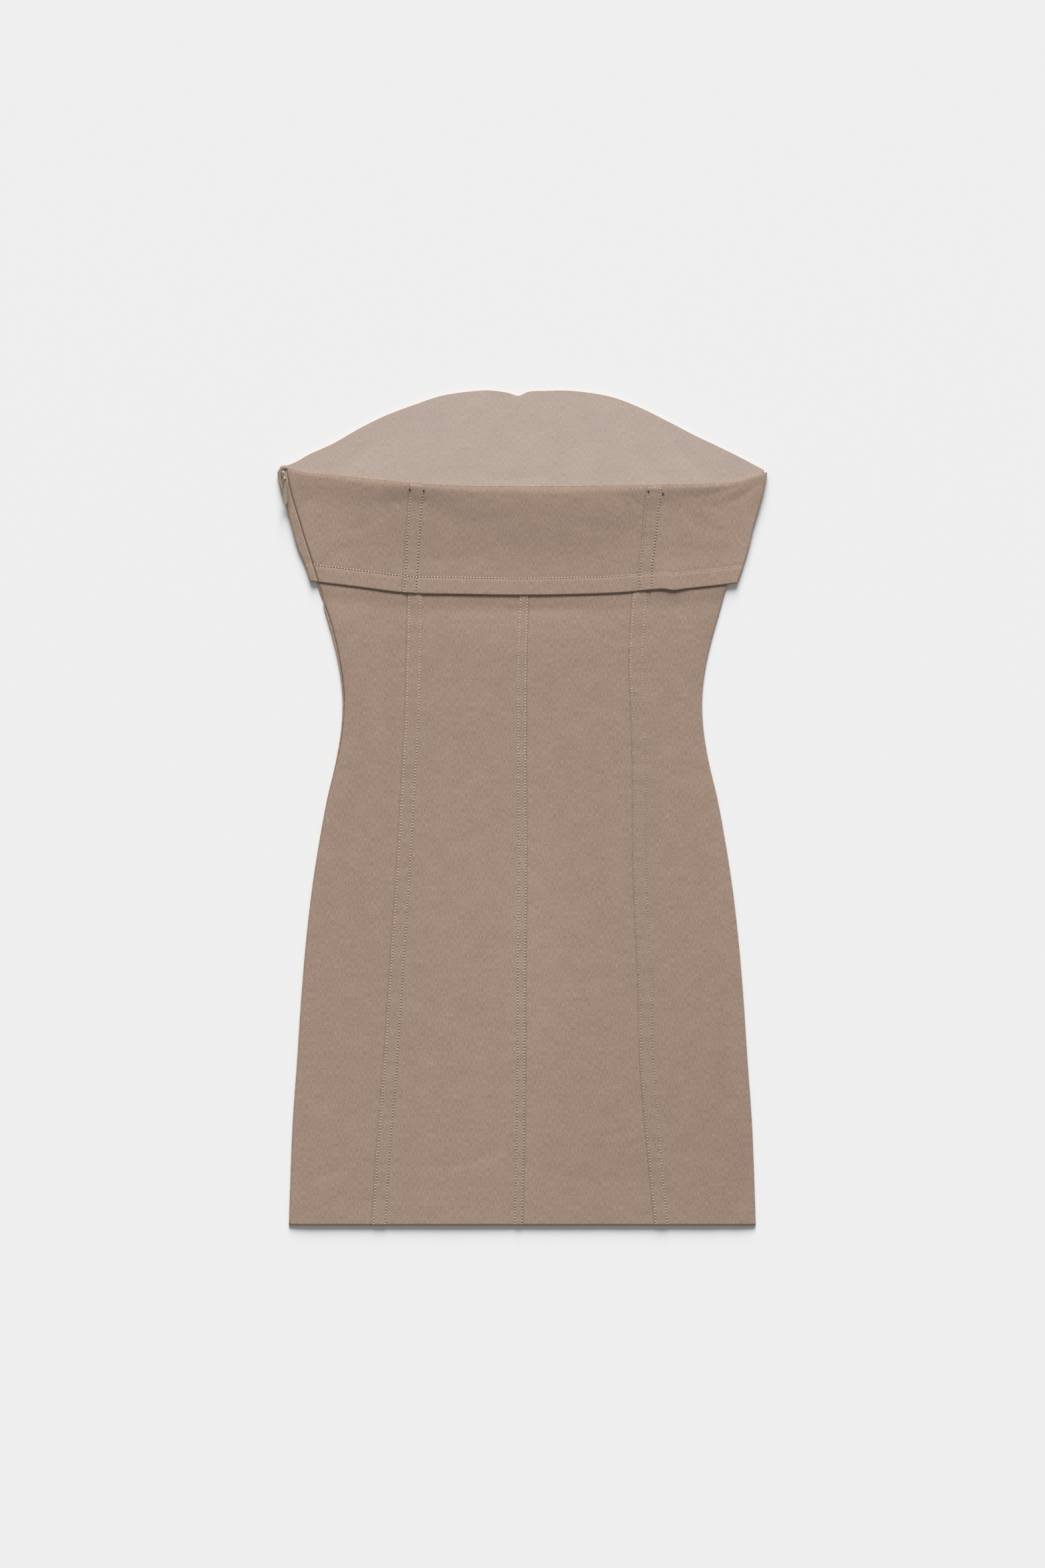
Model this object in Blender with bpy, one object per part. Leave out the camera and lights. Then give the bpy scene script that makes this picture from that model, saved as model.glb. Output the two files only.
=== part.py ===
# Strapless mini dress with a fold-over band, laid flat on its front, back side up.
# Millimetres in the tables and functions below, turned to metres where a mesh is made.
# +X is to the right of the flat dress, +Y from the hem to the neckline, +Z up from the floor.
import math

import bmesh
import bpy
import numpy as np

for old in list(bpy.data.objects):
    bpy.data.objects.remove(old, do_unlink=True)

MM = 0.001

# Cloth and the air between two layers of it
CLOTH = 1.0
GAP = 0.3
SEAM = 0.3

# Length of the dress on the floor
HEM_Y = -388.0
BAND_Y = 209.0

# How the layers lie: air under the back, less of it at the hem and none under the band
LOFT = 1.5
LOFT_HEM = 0.5
LOFT_START = 90.0
LOFT_END = 40.0
SWELL_FADE = 60.0
SWELL_CLEAR = 10.0
ROLL_OFF = 26.0
FACING_DEPTH = 32.0

# Seam strips: the seam allowances pressed to one side and stitched twice
STRIP_WIDTH = 12.0
CENTRE_STRIP_WIDTH = 8.0
STRIP_RAISE = 0.45
STRIP_STEP = 1.2
STRIP_FADE = (24.0, 6.0)

# Fold-over band: its round fold, its free hem, its sides, and the rim at the front's top edge
FOLD_RADIUS = 1.6
FOLD_STEPS = 8
FOLD_RISE = 16.0
TUCK = 1.6
HEM_LIFT = 0.7
HEM_LIFT_LENGTH = 45.0
HEM_TURN = 16.0
STUB_PARTS = (0.0, 0.5)
WRAP_STEPS = 8
SIDE_TURN = 1.4
SIDE_ANGLES = (math.pi / 6, math.pi / 3, math.pi / 2)
SIDE_FADE = (10.0, 3.0)
RIM_WIDTH = 1.8
RIM_STEP = 0.1
RIM_HEIGHT = 3.9
RIM_CLEAR = 0.8
RIM_START = 2
RIM_END = 2

# Columns and rows of points
EDGE_COLUMNS = (0.0, 3.0, 8.0, 16.0, 26.0)
UPPER_PARTS = np.linspace(0.0, 1.0, 6)
STEP_ROWS = (-17.0, -12.0, -6.0, -1.5)
HEM_ROWS = (0.0, 15.0, 30.0)
RISE_PARTS = (1.0, 0.72, 0.48, 0.26, 0.0)
WRAP_CLEAR = 4.0
CUSP_X = -3.5
CUSP_HALF = 7.5

# Zip slider and its pull
SLIDER_X = -221.0
SLIDER_Y = 309.0
SLIDER_LENGTH = 10.0
SLIDER_WIDTH = 5.6
SLIDER_PLATE = 1.3
SLIDER_CORNERS = 20
SLIDER_SQUARENESS = 0.6
SLIDER_TAPER = 0.14
BRIDGE_WIDTH = 1.4
BRIDGE_WALL = 0.7
BRIDGE_INNER = 0.85
BRIDGE_SINK = 0.35
BRIDGE_STEPS = 16
PIVOT_Y = 305.6
PULL_LENGTH = 23.5
PULL_WIDTH = 4.6
PULL_PLATE = 0.9
PULL_END = 0.45
PULL_STEPS = 9
PULL_TIP_ANGLES = np.linspace(0.35, 1.35, 4)
WINDOW_HALF = 1.05
WINDOW_LENGTH = 2.0
PULL_TILT = 4.4


def table(names, *rows):
    """Rows of numbers as one array for each named column."""
    return dict(zip(names.split(), np.array(rows, dtype=float).T))


# The side edge of the body, the same on both sides
BODY = table(
    "y half",
    (-388, 217.0),
    (-346, 215.6),
    (-290, 213.3),
    (-234, 209.3),
    (-178, 205.6),
    (-122, 200.9),
    (-67, 194.4),
    (-29, 188.4),
    (8, 181.6),
    (45, 173.0),
    (75, 168.2),
    (101, 167.1),
    (130, 170.1),
    (157, 176.0),
    (185, 184.0),
    (209, 190.4),
    (262, 207.0),
    (314, 224.5),
)

# The two side edges of the band, which flares to the top corners
BAND_EDGE = table(
    "y left right",
    (198, -193.2, 197.0),
    (210, -197.0, 200.2),
    (225, -201.6, 205.2),
    (243, -209.2, 210.6),
    (262, -214.4, 215.0),
    (281, -219.4, 220.6),
    (299, -225.4, 225.2),
    (314, -227.9, 227.9),
)

# The zip seam, inside the left edge
ZIP_SEAM = table(
    "y x",
    (38, -173.0),
    (64, -168.6),
    (104, -165.6),
    (140, -170.2),
    (167, -176.3),
    (209, -190.4),
    (262, -205.3),
    (303, -216.9),
    (318, -219.0),
)

# The long seams of the back; the band's own seams are a little off them
BACK_SEAMS = table(
    "y left centre right",
    (-388, -139.4, 1.6, 123.4),
    (-308, -134.3, 3.5, 115.6),
    (-240, -128.7, 4.2, 110.2),
    (-154, -123.0, 4.5, 107.8),
    (-69, -117.3, 5.4, 103.8),
    (34, -111.3, 4.9, 103.1),
    (90, -108.3, 5.0, 101.5),
    (136, -107.3, 5.2, 99.9),
    (198, -105.9, 7.0, 103.1),
    (300, -104.0, 7.0, 112.0),
)
BAND_SEAMS = table(
    "y left right",
    (198, -111.3, 108.1),
    (224, -109.6, 108.3),
    (245, -108.3, 111.0),
    (287, -105.3, 115.2),
    (302, -103.9, 117.4),
)

# Curves across the dress: the front's two-lobed top, the back's fold and the band's free edge
SWEETHEART = table(
    "x y",
    (-228, 314.0),
    (-200, 328.0),
    (-175, 339.4),
    (-151, 353.2),
    (-126, 365.4),
    (-101, 374.8),
    (-76, 383.2),
    (-51, 387.2),
    (-30, 388.4),
    (-11, 385.6),
    (-3.5, 383.4),
    (4, 386.6),
    (23, 388.0),
    (35, 388.4),
    (60, 386.6),
    (85, 381.8),
    (110, 372.2),
    (135, 359.8),
    (160, 346.8),
    (185, 334.9),
    (210, 322.3),
    (228, 312.5),
)
FOLD_LINE = table(
    "x y",
    (-219, 317.0),
    (-206, 313.2),
    (-176, 310.0),
    (-127, 305.0),
    (-76, 300.8),
    (0, 299.5),
    (73, 300.0),
    (135, 301.0),
    (172, 302.0),
    (197, 304.0),
    (212, 308.0),
    (228, 312.5),
)
FREE_EDGE = table(
    "x y",
    (-197, 211.0),
    (-151, 205.5),
    (-113, 200.6),
    (-51, 198.7),
    (-2, 198.0),
    (48, 198.7),
    (97, 200.8),
    (132, 203.4),
    (147, 203.0),
    (184, 207.4),
    (200, 209.4),
)

# Soft swells of the back, each a low round hill: centre, half sizes and height
SWELLS = table(
    "x y wide long high",
    (-60, 120, 45, 120, 0.5),
    (55, 60, 40, 140, 0.45),
    (-75, -150, 40, 160, 0.4),
    (60, -210, 38, 150, 0.5),
    (160, -250, 26, 120, 0.45),
    (-170, -200, 24, 150, 0.4),
    (140, 80, 18, 110, 0.3),
    (-138, 60, 18, 110, 0.3),
)

# Half width of the pull along its length
PULL_SHAPE = table(
    "s half",
    (-0.5, 1.75),
    (2.5, 1.75),
    (6.0, 1.4),
    (12.0, 1.75),
    (18.0, 2.25),
    (24.0, 2.3),
)

SHELL_COLOUR = (0.352, 0.254, 0.202, 1.0)
FACING_COLOUR = (0.497, 0.402, 0.347, 1.0)
METAL_COLOUR = (0.50, 0.44, 0.38, 1.0)


def smooth(xs, ys, at):
    """A smooth curve through the points (xs, ys), read at the places in at."""
    at = np.asarray(at, dtype=float)
    slope = np.gradient(ys, xs)
    step = np.clip(np.searchsorted(xs, at) - 1, 0, len(xs) - 2)
    width = xs[step + 1] - xs[step]
    part = (at - xs[step]) / width
    inside = np.clip(part, 0.0, 1.0)
    beyond = (part - inside) * width
    end_slope = np.where(part > 1.0, slope[step + 1], slope[step])
    low, high = ys[step], ys[step + 1]
    value = (
        low * (1 + 2 * inside) * (1 - inside) ** 2
        + slope[step] * width * inside * (1 - inside) ** 2
        + high * inside**2 * (3 - 2 * inside)
        + slope[step + 1] * width * inside**2 * (inside - 1)
    )
    return value + end_slope * beyond


def ramp(value, start, end):
    """0 before start, 1 after end, with a soft change between them."""
    part = np.clip((np.asarray(value, dtype=float) - start) / (end - start), 0.0, 1.0)
    return part * part * (3 - 2 * part)


def half_width(y):
    return smooth(BODY["y"], BODY["half"], y)


def seam(which, y):
    return smooth(BACK_SEAMS["y"], BACK_SEAMS[which], y)


def band_seam(which, y):
    return smooth(BAND_SEAMS["y"], BAND_SEAMS[which], y)


def band_edge(which, y):
    return smooth(BAND_EDGE["y"], BAND_EDGE[which], y)


def zip_seam(y):
    """The zip seam, and below the zip the side seam that it runs into."""
    along = smooth(ZIP_SEAM["y"], ZIP_SEAM["x"], y)
    return np.where(np.asarray(y) < ZIP_SEAM["y"][0], -half_width(y), along)


def top_edge(x):
    return smooth(SWEETHEART["x"], SWEETHEART["y"], x)


def fold_line(x):
    return smooth(FOLD_LINE["x"], FOLD_LINE["y"], x)


def free_edge(x):
    return smooth(FREE_EDGE["x"], FREE_EDGE["y"], x)


def front_under(x, y):
    """Underside of the front shell: on the floor, and on the front band above its edge."""
    edge = free_edge(x)
    return (CLOTH + GAP) * ramp(y, edge + STEP_ROWS[0], edge + STEP_ROWS[-1])


def facing_start(x):
    return fold_line(x) - FACING_DEPTH


def back_under(x, y):
    """Underside of the back shell, with its soft loft and its edges rolled down."""
    below = front_under(x, y) + CLOTH + GAP
    start = facing_start(x)
    below = below + (CLOTH + GAP) * ramp(y, start + STEP_ROWS[0], start + STEP_ROWS[-1])
    inside = np.clip((half_width(y) - np.abs(x)) / ROLL_OFF, 0.0, 1.0)
    rolled = np.sqrt(1 - (1 - inside) ** 2)
    loft = LOFT_HEM + (LOFT - LOFT_HEM) * ramp(y, HEM_Y, HEM_Y + LOFT_START)
    loft = loft * (1 - ramp(y, BAND_Y - LOFT_END, BAND_Y + LOFT_END))
    swell = 0.0
    for cx, cy, wide, long, high in zip(*(SWELLS[key] for key in SWELLS)):
        swell = swell + high * np.exp(-(((x - cx) / wide) ** 2) - ((y - cy) / long) ** 2)
    swell = swell * (1 - ramp(y, BAND_Y - SWELL_FADE, BAND_Y - SWELL_CLEAR))
    swell = swell * ramp(y, HEM_Y, HEM_Y + SWELL_FADE)
    return below + (loft + swell) * rolled


def band_under(x, y):
    """Underside of the folded band, whose free hem stands a little off the back."""
    edge = free_edge(x)
    lift = HEM_LIFT * (1 - ramp(y, edge, edge + HEM_LIFT_LENGTH))
    return back_under(x, y) + CLOTH + GAP + lift


def normals(grid):
    along_u = np.gradient(grid, axis=0)
    along_v = np.gradient(grid, axis=1)
    across = np.cross(along_u, along_v)
    return across / np.linalg.norm(across, axis=2, keepdims=True)


def make_object(name, points, faces, material):
    mesh = bpy.data.meshes.new(name)
    mesh.from_pydata([tuple(p) for p in np.asarray(points) * MM], [], faces)
    model = bmesh.new()
    model.from_mesh(mesh)
    bmesh.ops.recalc_face_normals(model, faces=model.faces)
    model.to_mesh(mesh)
    model.free()
    mesh.materials.append(material)
    piece = bpy.data.objects.new(name, mesh)
    bpy.context.scene.collection.objects.link(piece)
    return piece


def wall(name, grid, material, above=CLOTH / 2, below=CLOTH / 2):
    """A closed wall of cloth round a grid of middle points, u across and v along."""
    facing = normals(grid)
    outer = grid + facing * np.broadcast_to(above, grid.shape[:2])[..., None]
    inner = grid - facing * np.broadcast_to(below, grid.shape[:2])[..., None]
    across, along = grid.shape[:2]
    count = across * along
    points = np.concatenate([outer.reshape(-1, 3), inner.reshape(-1, 3)])

    def at(i, j, side):
        return side * count + i * along + j

    faces = []
    for i in range(across - 1):
        for j in range(along - 1):
            corners = ((i, j), (i + 1, j), (i + 1, j + 1), (i, j + 1))
            faces.append([at(a, b, 0) for a, b in corners])
            faces.append([at(a, b, 1) for a, b in reversed(corners)])
    rim = [(i, 0) for i in range(across)]
    rim += [(across - 1, j) for j in range(1, along)]
    rim += [(i, along - 1) for i in range(across - 2, -1, -1)]
    rim += [(0, j) for j in range(along - 2, 0, -1)]
    for (a, b), (c, d) in zip(rim, rim[1:] + rim[:1]):
        faces.append([at(a, b, 0), at(a, b, 1), at(c, d, 1), at(c, d, 0)])
    return make_object(name, points, faces, material)


def make_material(name, colour, roughness, metallic=0.0):
    material = bpy.data.materials.new(name)
    material.use_nodes = True
    shader = material.node_tree.nodes["Principled BSDF"]
    shader.inputs["Base Color"].default_value = colour
    shader.inputs["Roughness"].default_value = roughness
    shader.inputs["Metallic"].default_value = metallic
    return material


# Rows of points are curves across the dress; the body's are closer where it bends
BODY_ROWS = np.concatenate(
    [
        (HEM_Y, HEM_Y + HEM_TURN),
        np.linspace(HEM_Y + 55, -70, 6),
        np.linspace(-30, BAND_Y - 37, 8),
    ]
)


def level(y):
    return lambda x: y


def rows_between(start, end, parts):
    """Curves that lead from one curve across the dress to another."""
    return [lambda x, p=p: start(x) + (end(x) - start(x)) * p for p in parts]


def lines_between(left, right, parts):
    """Lines that lead from one line along the dress to another."""
    return [lambda y, p=p: left(y) + (right(y) - left(y)) * p for p in parts]


def beside(line, distance):
    return lambda y: line(y) + distance


def columns_between(left, right, near_left, count, near_right):
    """Column lines of a panel: at set distances from its edges, evenly in the middle."""
    low = [beside(left, d) for d in near_left]
    high = [beside(right, -d) for d in reversed(near_right)]
    middle = lines_between(low[-1], high[0], np.linspace(0, 1, count + 2)[1:-1])
    return low + middle + high


def round_cusp(left, right, count):
    """Column lines with close ones where the top edge dips between its two lobes."""
    low, high = (lambda y, d=d: CUSP_X + d for d in (-CUSP_HALF, CUSP_HALF))
    columns = columns_between(left, low, (0.0,), count, (0.0,))
    columns.append(lambda y: CUSP_X)
    return columns + columns_between(high, right, (0.0,), count, (0.0,))


def crossing(column, row, start=0.0):
    """The point where a column line meets a row curve."""
    y = float(start)
    for _ in range(12):
        x = float(column(y))
        y = float(row(x))
    return x, y


def panel_grid(columns, rows, height):
    """Middle points of a panel at each crossing of its columns and rows."""
    grid = [[crossing(column, row) for row in rows] for column in columns]
    grid = np.array(grid)
    z = height(grid[..., 0], grid[..., 1])
    return np.concatenate([grid, z[..., None]], axis=2)


def raised(grid, left_columns, right_columns):
    """Distance from the middle to the outer points, more on the seam strips."""
    above = np.zeros(grid.shape[:2])
    above[:left_columns] = STRIP_RAISE
    if right_columns:
        above[-right_columns:] = STRIP_RAISE
    return above + CLOTH / 2


def clear_of_band(grid):
    """1 where the back shows, 0 where the band lies on it."""
    edge = free_edge(grid[..., 0])
    start, end = STRIP_FADE
    return 1 - ramp(grid[..., 1], edge - start, edge - end)


def back_mid(x, y):
    return back_under(x, y) + CLOTH / 2


def front_mid(x, y):
    return front_under(x, y) + CLOTH / 2


def facing_mid(x, y):
    return front_mid(x, y) + CLOTH + GAP


def fold_centre(x):
    """Middle of the round fold at the top of the back."""
    return fold_line(x) - FOLD_RADIUS - CLOTH / 2


def make_back(material):
    """Four back panels. Seam strips lie on the wearer's right of two seams, left of one."""
    half_seam = SEAM / 2
    left, centre, right = (lambda y, k=k: seam(k, y) for k in ("left", "centre", "right"))
    strip = (0.0, STRIP_WIDTH, STRIP_WIDTH + STRIP_STEP)
    centre_strip = (0.0, CENTRE_STRIP_WIDTH, CENTRE_STRIP_WIDTH + STRIP_STEP)
    rows = [level(y) for y in BODY_ROWS] + [beside(free_edge, d) for d in STEP_ROWS]
    rows += [lambda x: (free_edge(x) + facing_start(x)) / 2]
    rows += [beside(facing_start, d) for d in STEP_ROWS]
    rows += [lambda x: fold_centre(x) - TUCK - SEAM]
    panels = (
        ("back_side_left", zip_seam, left, EDGE_COLUMNS, 3, (0.0,), 0, 0),
        ("back_centre_left", left, centre, strip, 2, centre_strip, 2, 2),
        ("back_centre_right", centre, right, (0.0,), 4, (0.0,), 0, 0),
        ("back_side_right", right, half_width, strip, 2, EDGE_COLUMNS, 2, 0),
    )
    for name, low, high, near_low, count, near_high, low_strip, high_strip in panels:
        columns = columns_between(
            beside(low, half_seam), beside(high, -half_seam), near_low, count, near_high
        )
        grid = panel_grid(columns, rows, back_mid)
        strips = raised(grid, low_strip, high_strip) - CLOTH / 2
        wall(name, grid, material, above=CLOTH / 2 + strips * clear_of_band(grid))


def make_front(material):
    """Three front panels on the floor, their top edge inside the front band's rim."""
    half_seam = SEAM / 2
    left, right = (lambda y, k=k: seam(k, y) for k in ("left", "right"))
    outer_left = lambda y: -half_width(y)
    rows = [level(y) for y in BODY_ROWS] + [beside(free_edge, d) for d in STEP_ROWS]
    rows += rows_between(free_edge, inner_top, UPPER_PARTS[1:])
    inner_left, inner_right = beside(left, half_seam), beside(right, -half_seam)
    edge = (0.0,)
    panels = {
        "front_side_left": columns_between(outer_left, beside(left, -half_seam), edge, 5, edge),
        "front_centre": round_cusp(inner_left, inner_right, 5),
        "front_side_right": columns_between(beside(right, half_seam), half_width, edge, 5, edge),
    }
    for name, columns in panels.items():
        wall(name, panel_grid(columns, rows, front_mid), material)


def inner_top(x):
    """Top edge of what lies inside the front band's rim."""
    return top_edge(x) - RIM_WIDTH - RIM_CLEAR


def make_facing(material):
    """The inner cloth of the front, from its two-lobed edge down to under the back."""
    columns = round_cusp(lambda y: -half_width(y), half_width, 11)
    rows = rows_between(facing_start, inner_top, np.linspace(0, 1, 6))
    wall("front_facing", panel_grid(columns, rows, facing_mid), material)


def make_back_band(material):
    """Three sections of the band: up the back, round the fold and a little way under."""
    half_seam = SEAM / 2
    left, right = (lambda y, k=k: band_seam(k, y) for k in ("left", "right"))
    edge = lambda y: band_edge("right", y)
    strip = (0.0, STRIP_WIDTH, STRIP_WIDTH + STRIP_STEP)
    flat = [beside(free_edge, d) for d in HEM_ROWS]
    flat += [beside(facing_start, d) for d in STEP_ROWS]
    flat += [beside(fold_centre, -FOLD_RISE * part) for part in RISE_PARTS]
    angles = np.linspace(math.pi / 2, -math.pi / 2, FOLD_STEPS + 1)[1:]
    turned = [
        lambda x, a=a: fold_centre(x) + FOLD_RADIUS * math.cos(a) for a in angles
    ]
    tucked = [lambda x: fold_centre(x) - TUCK]
    rows = flat + turned + tucked
    panels = (
        ("band_back_left", zip_seam, left, (0.0,), 5, (0.0,), 0),
        ("band_back_centre", left, right, strip, 6, (0.0,), 2),
        ("band_back_right", right, edge, strip, 4, (0.0,), 2),
    )
    for name, low, high, near_low, count, near_high, low_strip in panels:
        high_gap = 0.0 if high is edge else half_seam
        columns = columns_between(
            beside(low, half_seam), beside(high, -high_gap), near_low, count, near_high
        )
        grid = panel_grid(columns, rows, band_flat_mid)
        x = grid[:, len(flat) :, 0]
        lowest = back_mid(x, fold_centre(x))
        rise = FOLD_RADIUS * (1 + np.sin(np.append(angles, -math.pi / 2)))
        grid[:, len(flat) :, 2] = lowest + rise
        above = raised(grid, low_strip, 0)
        above[:, len(flat) + FOLD_STEPS // 2 :] = CLOTH / 2
        wall(name, grid, material, above=above)


def band_flat_mid(x, y):
    """Middle of the band on the back, rising to the top of its round fold."""
    centre = fold_centre(x)
    flat = band_under(x, y) + CLOTH / 2
    crown = back_mid(x, centre) + 2 * FOLD_RADIUS
    return flat + (crown - flat) * ramp(y, centre - FOLD_RISE, centre)


def wrap_top(y):
    """Height of the front band's upper face where it meets the band of the back."""
    return band_under(zip_seam(y), y) + CLOTH


def right_wall_top(y):
    """The front band's right side ends under the back's band, lower under its fold."""
    x = band_edge("right", y)
    centre = fold_centre(x)
    over = band_under(x, y) - back_under(x, y)
    start, end = SIDE_FADE
    return back_under(x, y) - GAP + over * (1 - ramp(y, centre - start, centre - end))


def make_front_band(material):
    """One piece: from the zip seam round the left edge, under the front, up the right."""
    left, right = (lambda y, k=k: band_edge(k, y) for k in ("left", "right"))
    sections = []
    for part in STUB_PARTS:
        sections.append(
            lambda y, p=part: (
                zip_seam(y) - SEAM / 2 + (left(y) + wrap_top(y) / 2 - zip_seam(y) + SEAM / 2) * p,
                wrap_top(y) - CLOTH / 2,
            )
        )
    for angle in np.linspace(0, math.pi, WRAP_STEPS + 1):
        sections.append(
            lambda y, a=angle: (
                left(y) + wrap_top(y) / 2 - (wrap_top(y) / 2 - CLOTH / 2) * math.sin(a),
                wrap_top(y) / 2 + (wrap_top(y) / 2 - CLOTH / 2) * math.cos(a),
            )
        )
    floor_left = lambda y: left(y) + wrap_top(y) / 2
    floor_right = beside(right, -SIDE_TURN)
    for line in round_cusp(beside(floor_left, WRAP_CLEAR), floor_right, 11):
        sections.append(lambda y, line=line: (line(y), CLOTH / 2))
    for angle in SIDE_ANGLES:
        sections.append(
            lambda y, a=angle: (
                right(y) - SIDE_TURN + (SIDE_TURN - CLOTH / 2) * math.sin(a),
                SIDE_TURN - (SIDE_TURN - CLOTH / 2) * math.cos(a),
            )
        )
    sections.append(lambda y: (right(y) - CLOTH / 2, right_wall_top(y)))
    start_rim = lambda x: top_edge(x) - RIM_WIDTH
    rows = rows_between(free_edge, lambda x: start_rim(x) - RIM_STEP, np.linspace(0, 1, 8))
    rows += [start_rim, top_edge]
    grid = []
    for section in sections:
        column = []
        for row in rows:
            x, y = crossing(lambda y: section(y)[0], row, BAND_Y)
            column.append((x, y, float(section(y)[1])))
        grid.append(column)
    grid = np.array(grid)
    above = np.full(grid.shape[:2], CLOTH / 2)
    # the rim runs between the two sides, a few columns in from where they turn up
    first = len(STUB_PARTS) + WRAP_STEPS + RIM_START
    last = len(sections) - 1 - len(SIDE_ANGLES) - RIM_END
    above[first:last, -2:] = RIM_HEIGHT - CLOTH / 2
    wall("band_front", grid, material, above=above)


def outline_prism(name, outline, low, high, material):
    """A plate with the given outline, from height low to height high."""
    count = len(outline)
    points = [(x, y, low) for x, y in outline] + [(x, y, high) for x, y in outline]
    faces = [list(range(count - 1, -1, -1)), list(range(count, 2 * count))]
    for i in range(count):
        j = (i + 1) % count
        faces.append([i, j, count + j, count + i])
    return make_object(name, points, faces, material)


def cut(piece, tool, operation):
    modifier = piece.modifiers.new(tool.name, "BOOLEAN")
    modifier.operation = operation
    modifier.object = tool
    tool.hide_render = True
    tool.display_type = "WIRE"


def ring(name, inner, outer, width, steps, material):
    """A ring round the X axis at the origin."""
    points = []
    for side in (-width / 2, width / 2):
        for radius in (inner, outer):
            for step in range(steps):
                a = 2 * math.pi * step / steps
                points.append((side, radius * math.cos(a), radius * math.sin(a)))
    faces = []
    for i in range(steps):
        j = (i + 1) % steps
        a, b, c, d = i, steps + i, 2 * steps + i, 3 * steps + i
        e, f, g, h = j, steps + j, 2 * steps + j, 3 * steps + j
        faces += [[a, b, f, e], [c, g, h, d], [a, e, g, c], [b, d, h, f]]
    return make_object(name, points, faces, material)


def make_slider(material):
    """A small shield-shaped body with a ring on top that holds the pull."""
    low = wrap_top(PIVOT_Y) + GAP
    high = low + SLIDER_PLATE
    outline = []
    for step in range(SLIDER_CORNERS):
        a = 2 * math.pi * step / SLIDER_CORNERS
        x = abs(math.cos(a)) ** SLIDER_SQUARENESS * math.copysign(1, math.cos(a))
        y = abs(math.sin(a)) ** SLIDER_SQUARENESS * math.copysign(1, math.sin(a))
        width = SLIDER_WIDTH / 2 * (1 - SLIDER_TAPER * (1 - y))
        outline.append((SLIDER_X + x * width, SLIDER_Y + y * SLIDER_LENGTH / 2))
    body = outline_prism("zip_slider", outline, low, high, material)
    pivot_z = high + BRIDGE_INNER + BRIDGE_WALL - BRIDGE_SINK
    outer = BRIDGE_INNER + BRIDGE_WALL
    bridge = ring("slider_bridge", BRIDGE_INNER, outer, BRIDGE_WIDTH, BRIDGE_STEPS, material)
    bridge.location = (SLIDER_X * MM, PIVOT_Y * MM, pivot_z * MM)
    cut(body, bridge, "UNION")
    return pivot_z


def pull_half_width(s):
    """Half width of the drop-shaped pull, s from its pin to its round end."""
    side = smooth(PULL_SHAPE["s"], PULL_SHAPE["half"], s)
    to_end = max(0.0, PULL_LENGTH - s)
    radius = PULL_WIDTH / 2
    if to_end < radius:
        side = min(side, math.sqrt(max(0.0, radius**2 - (radius - to_end) ** 2)))
    return float(side)


def make_pull(material, pivot_z):
    """A drop-shaped plate with a window at its narrow end, lying on the band."""
    lengths = np.concatenate(
        [
            np.linspace(-PULL_END, PULL_LENGTH - PULL_WIDTH / 2, PULL_STEPS),
            PULL_LENGTH - PULL_WIDTH / 2 * (1 - np.sin(PULL_TIP_ANGLES)),
        ]
    )
    right = [(pull_half_width(s), -s) for s in lengths]
    tip = [(0.0, -PULL_LENGTH)]
    left = [(-x, y) for x, y in reversed(right)]
    pull = outline_prism(
        "zip_pull", right + tip + left, -PULL_PLATE / 2, PULL_PLATE / 2, material
    )
    low, high = PULL_END, PULL_END + WINDOW_LENGTH
    corners = [(-1, -low), (1, -low), (1, -high), (-1, -high)]
    opening = [(x * WINDOW_HALF, y) for x, y in corners]
    window = outline_prism("pull_window", opening, -PULL_PLATE, PULL_PLATE, material)
    cut(pull, window, "DIFFERENCE")
    for piece in (pull, window):
        piece.location = (SLIDER_X * MM, PIVOT_Y * MM, pivot_z * MM)
        piece.rotation_euler = (math.radians(PULL_TILT), 0.0, 0.0)


def main():
    shell = make_material("woven_shell", SHELL_COLOUR, 0.85)
    inner = make_material("woven_facing", FACING_COLOUR, 0.8)
    metal = make_material("painted_metal", METAL_COLOUR, 0.4, 0.3)
    make_front(shell)
    make_front_band(shell)
    make_facing(inner)
    make_back(shell)
    make_back_band(shell)
    make_pull(metal, make_slider(metal))


main()
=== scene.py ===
# Strapless mini dress with a fold-over band, laid flat on a pale floor, back side up.
# Sizes are in millimetres until a mesh is made; +Y runs from the hem to the neckline.
import bpy
import math
import numpy as np
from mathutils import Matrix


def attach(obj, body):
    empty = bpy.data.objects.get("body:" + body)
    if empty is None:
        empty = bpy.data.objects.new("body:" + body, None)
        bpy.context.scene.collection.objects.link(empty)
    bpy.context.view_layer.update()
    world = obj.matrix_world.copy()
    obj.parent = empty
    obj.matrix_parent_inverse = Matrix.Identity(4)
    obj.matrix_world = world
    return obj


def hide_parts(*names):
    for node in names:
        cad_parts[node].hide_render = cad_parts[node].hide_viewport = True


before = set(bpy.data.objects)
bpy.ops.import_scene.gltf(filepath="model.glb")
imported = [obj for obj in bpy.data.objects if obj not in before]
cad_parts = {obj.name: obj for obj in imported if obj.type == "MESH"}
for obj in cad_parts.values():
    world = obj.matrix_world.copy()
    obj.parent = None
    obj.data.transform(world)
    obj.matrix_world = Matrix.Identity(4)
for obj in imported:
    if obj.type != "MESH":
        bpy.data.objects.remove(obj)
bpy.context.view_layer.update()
mm = 0.001
print("frame loaded:", len(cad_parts), "nodes")


# Curves that the whole dress is drawn from
def table(names, *rows):
    return dict(zip(names.split(), np.array(rows, dtype=float).T))


hemY = -387.4
bandY = 209.0

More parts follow.
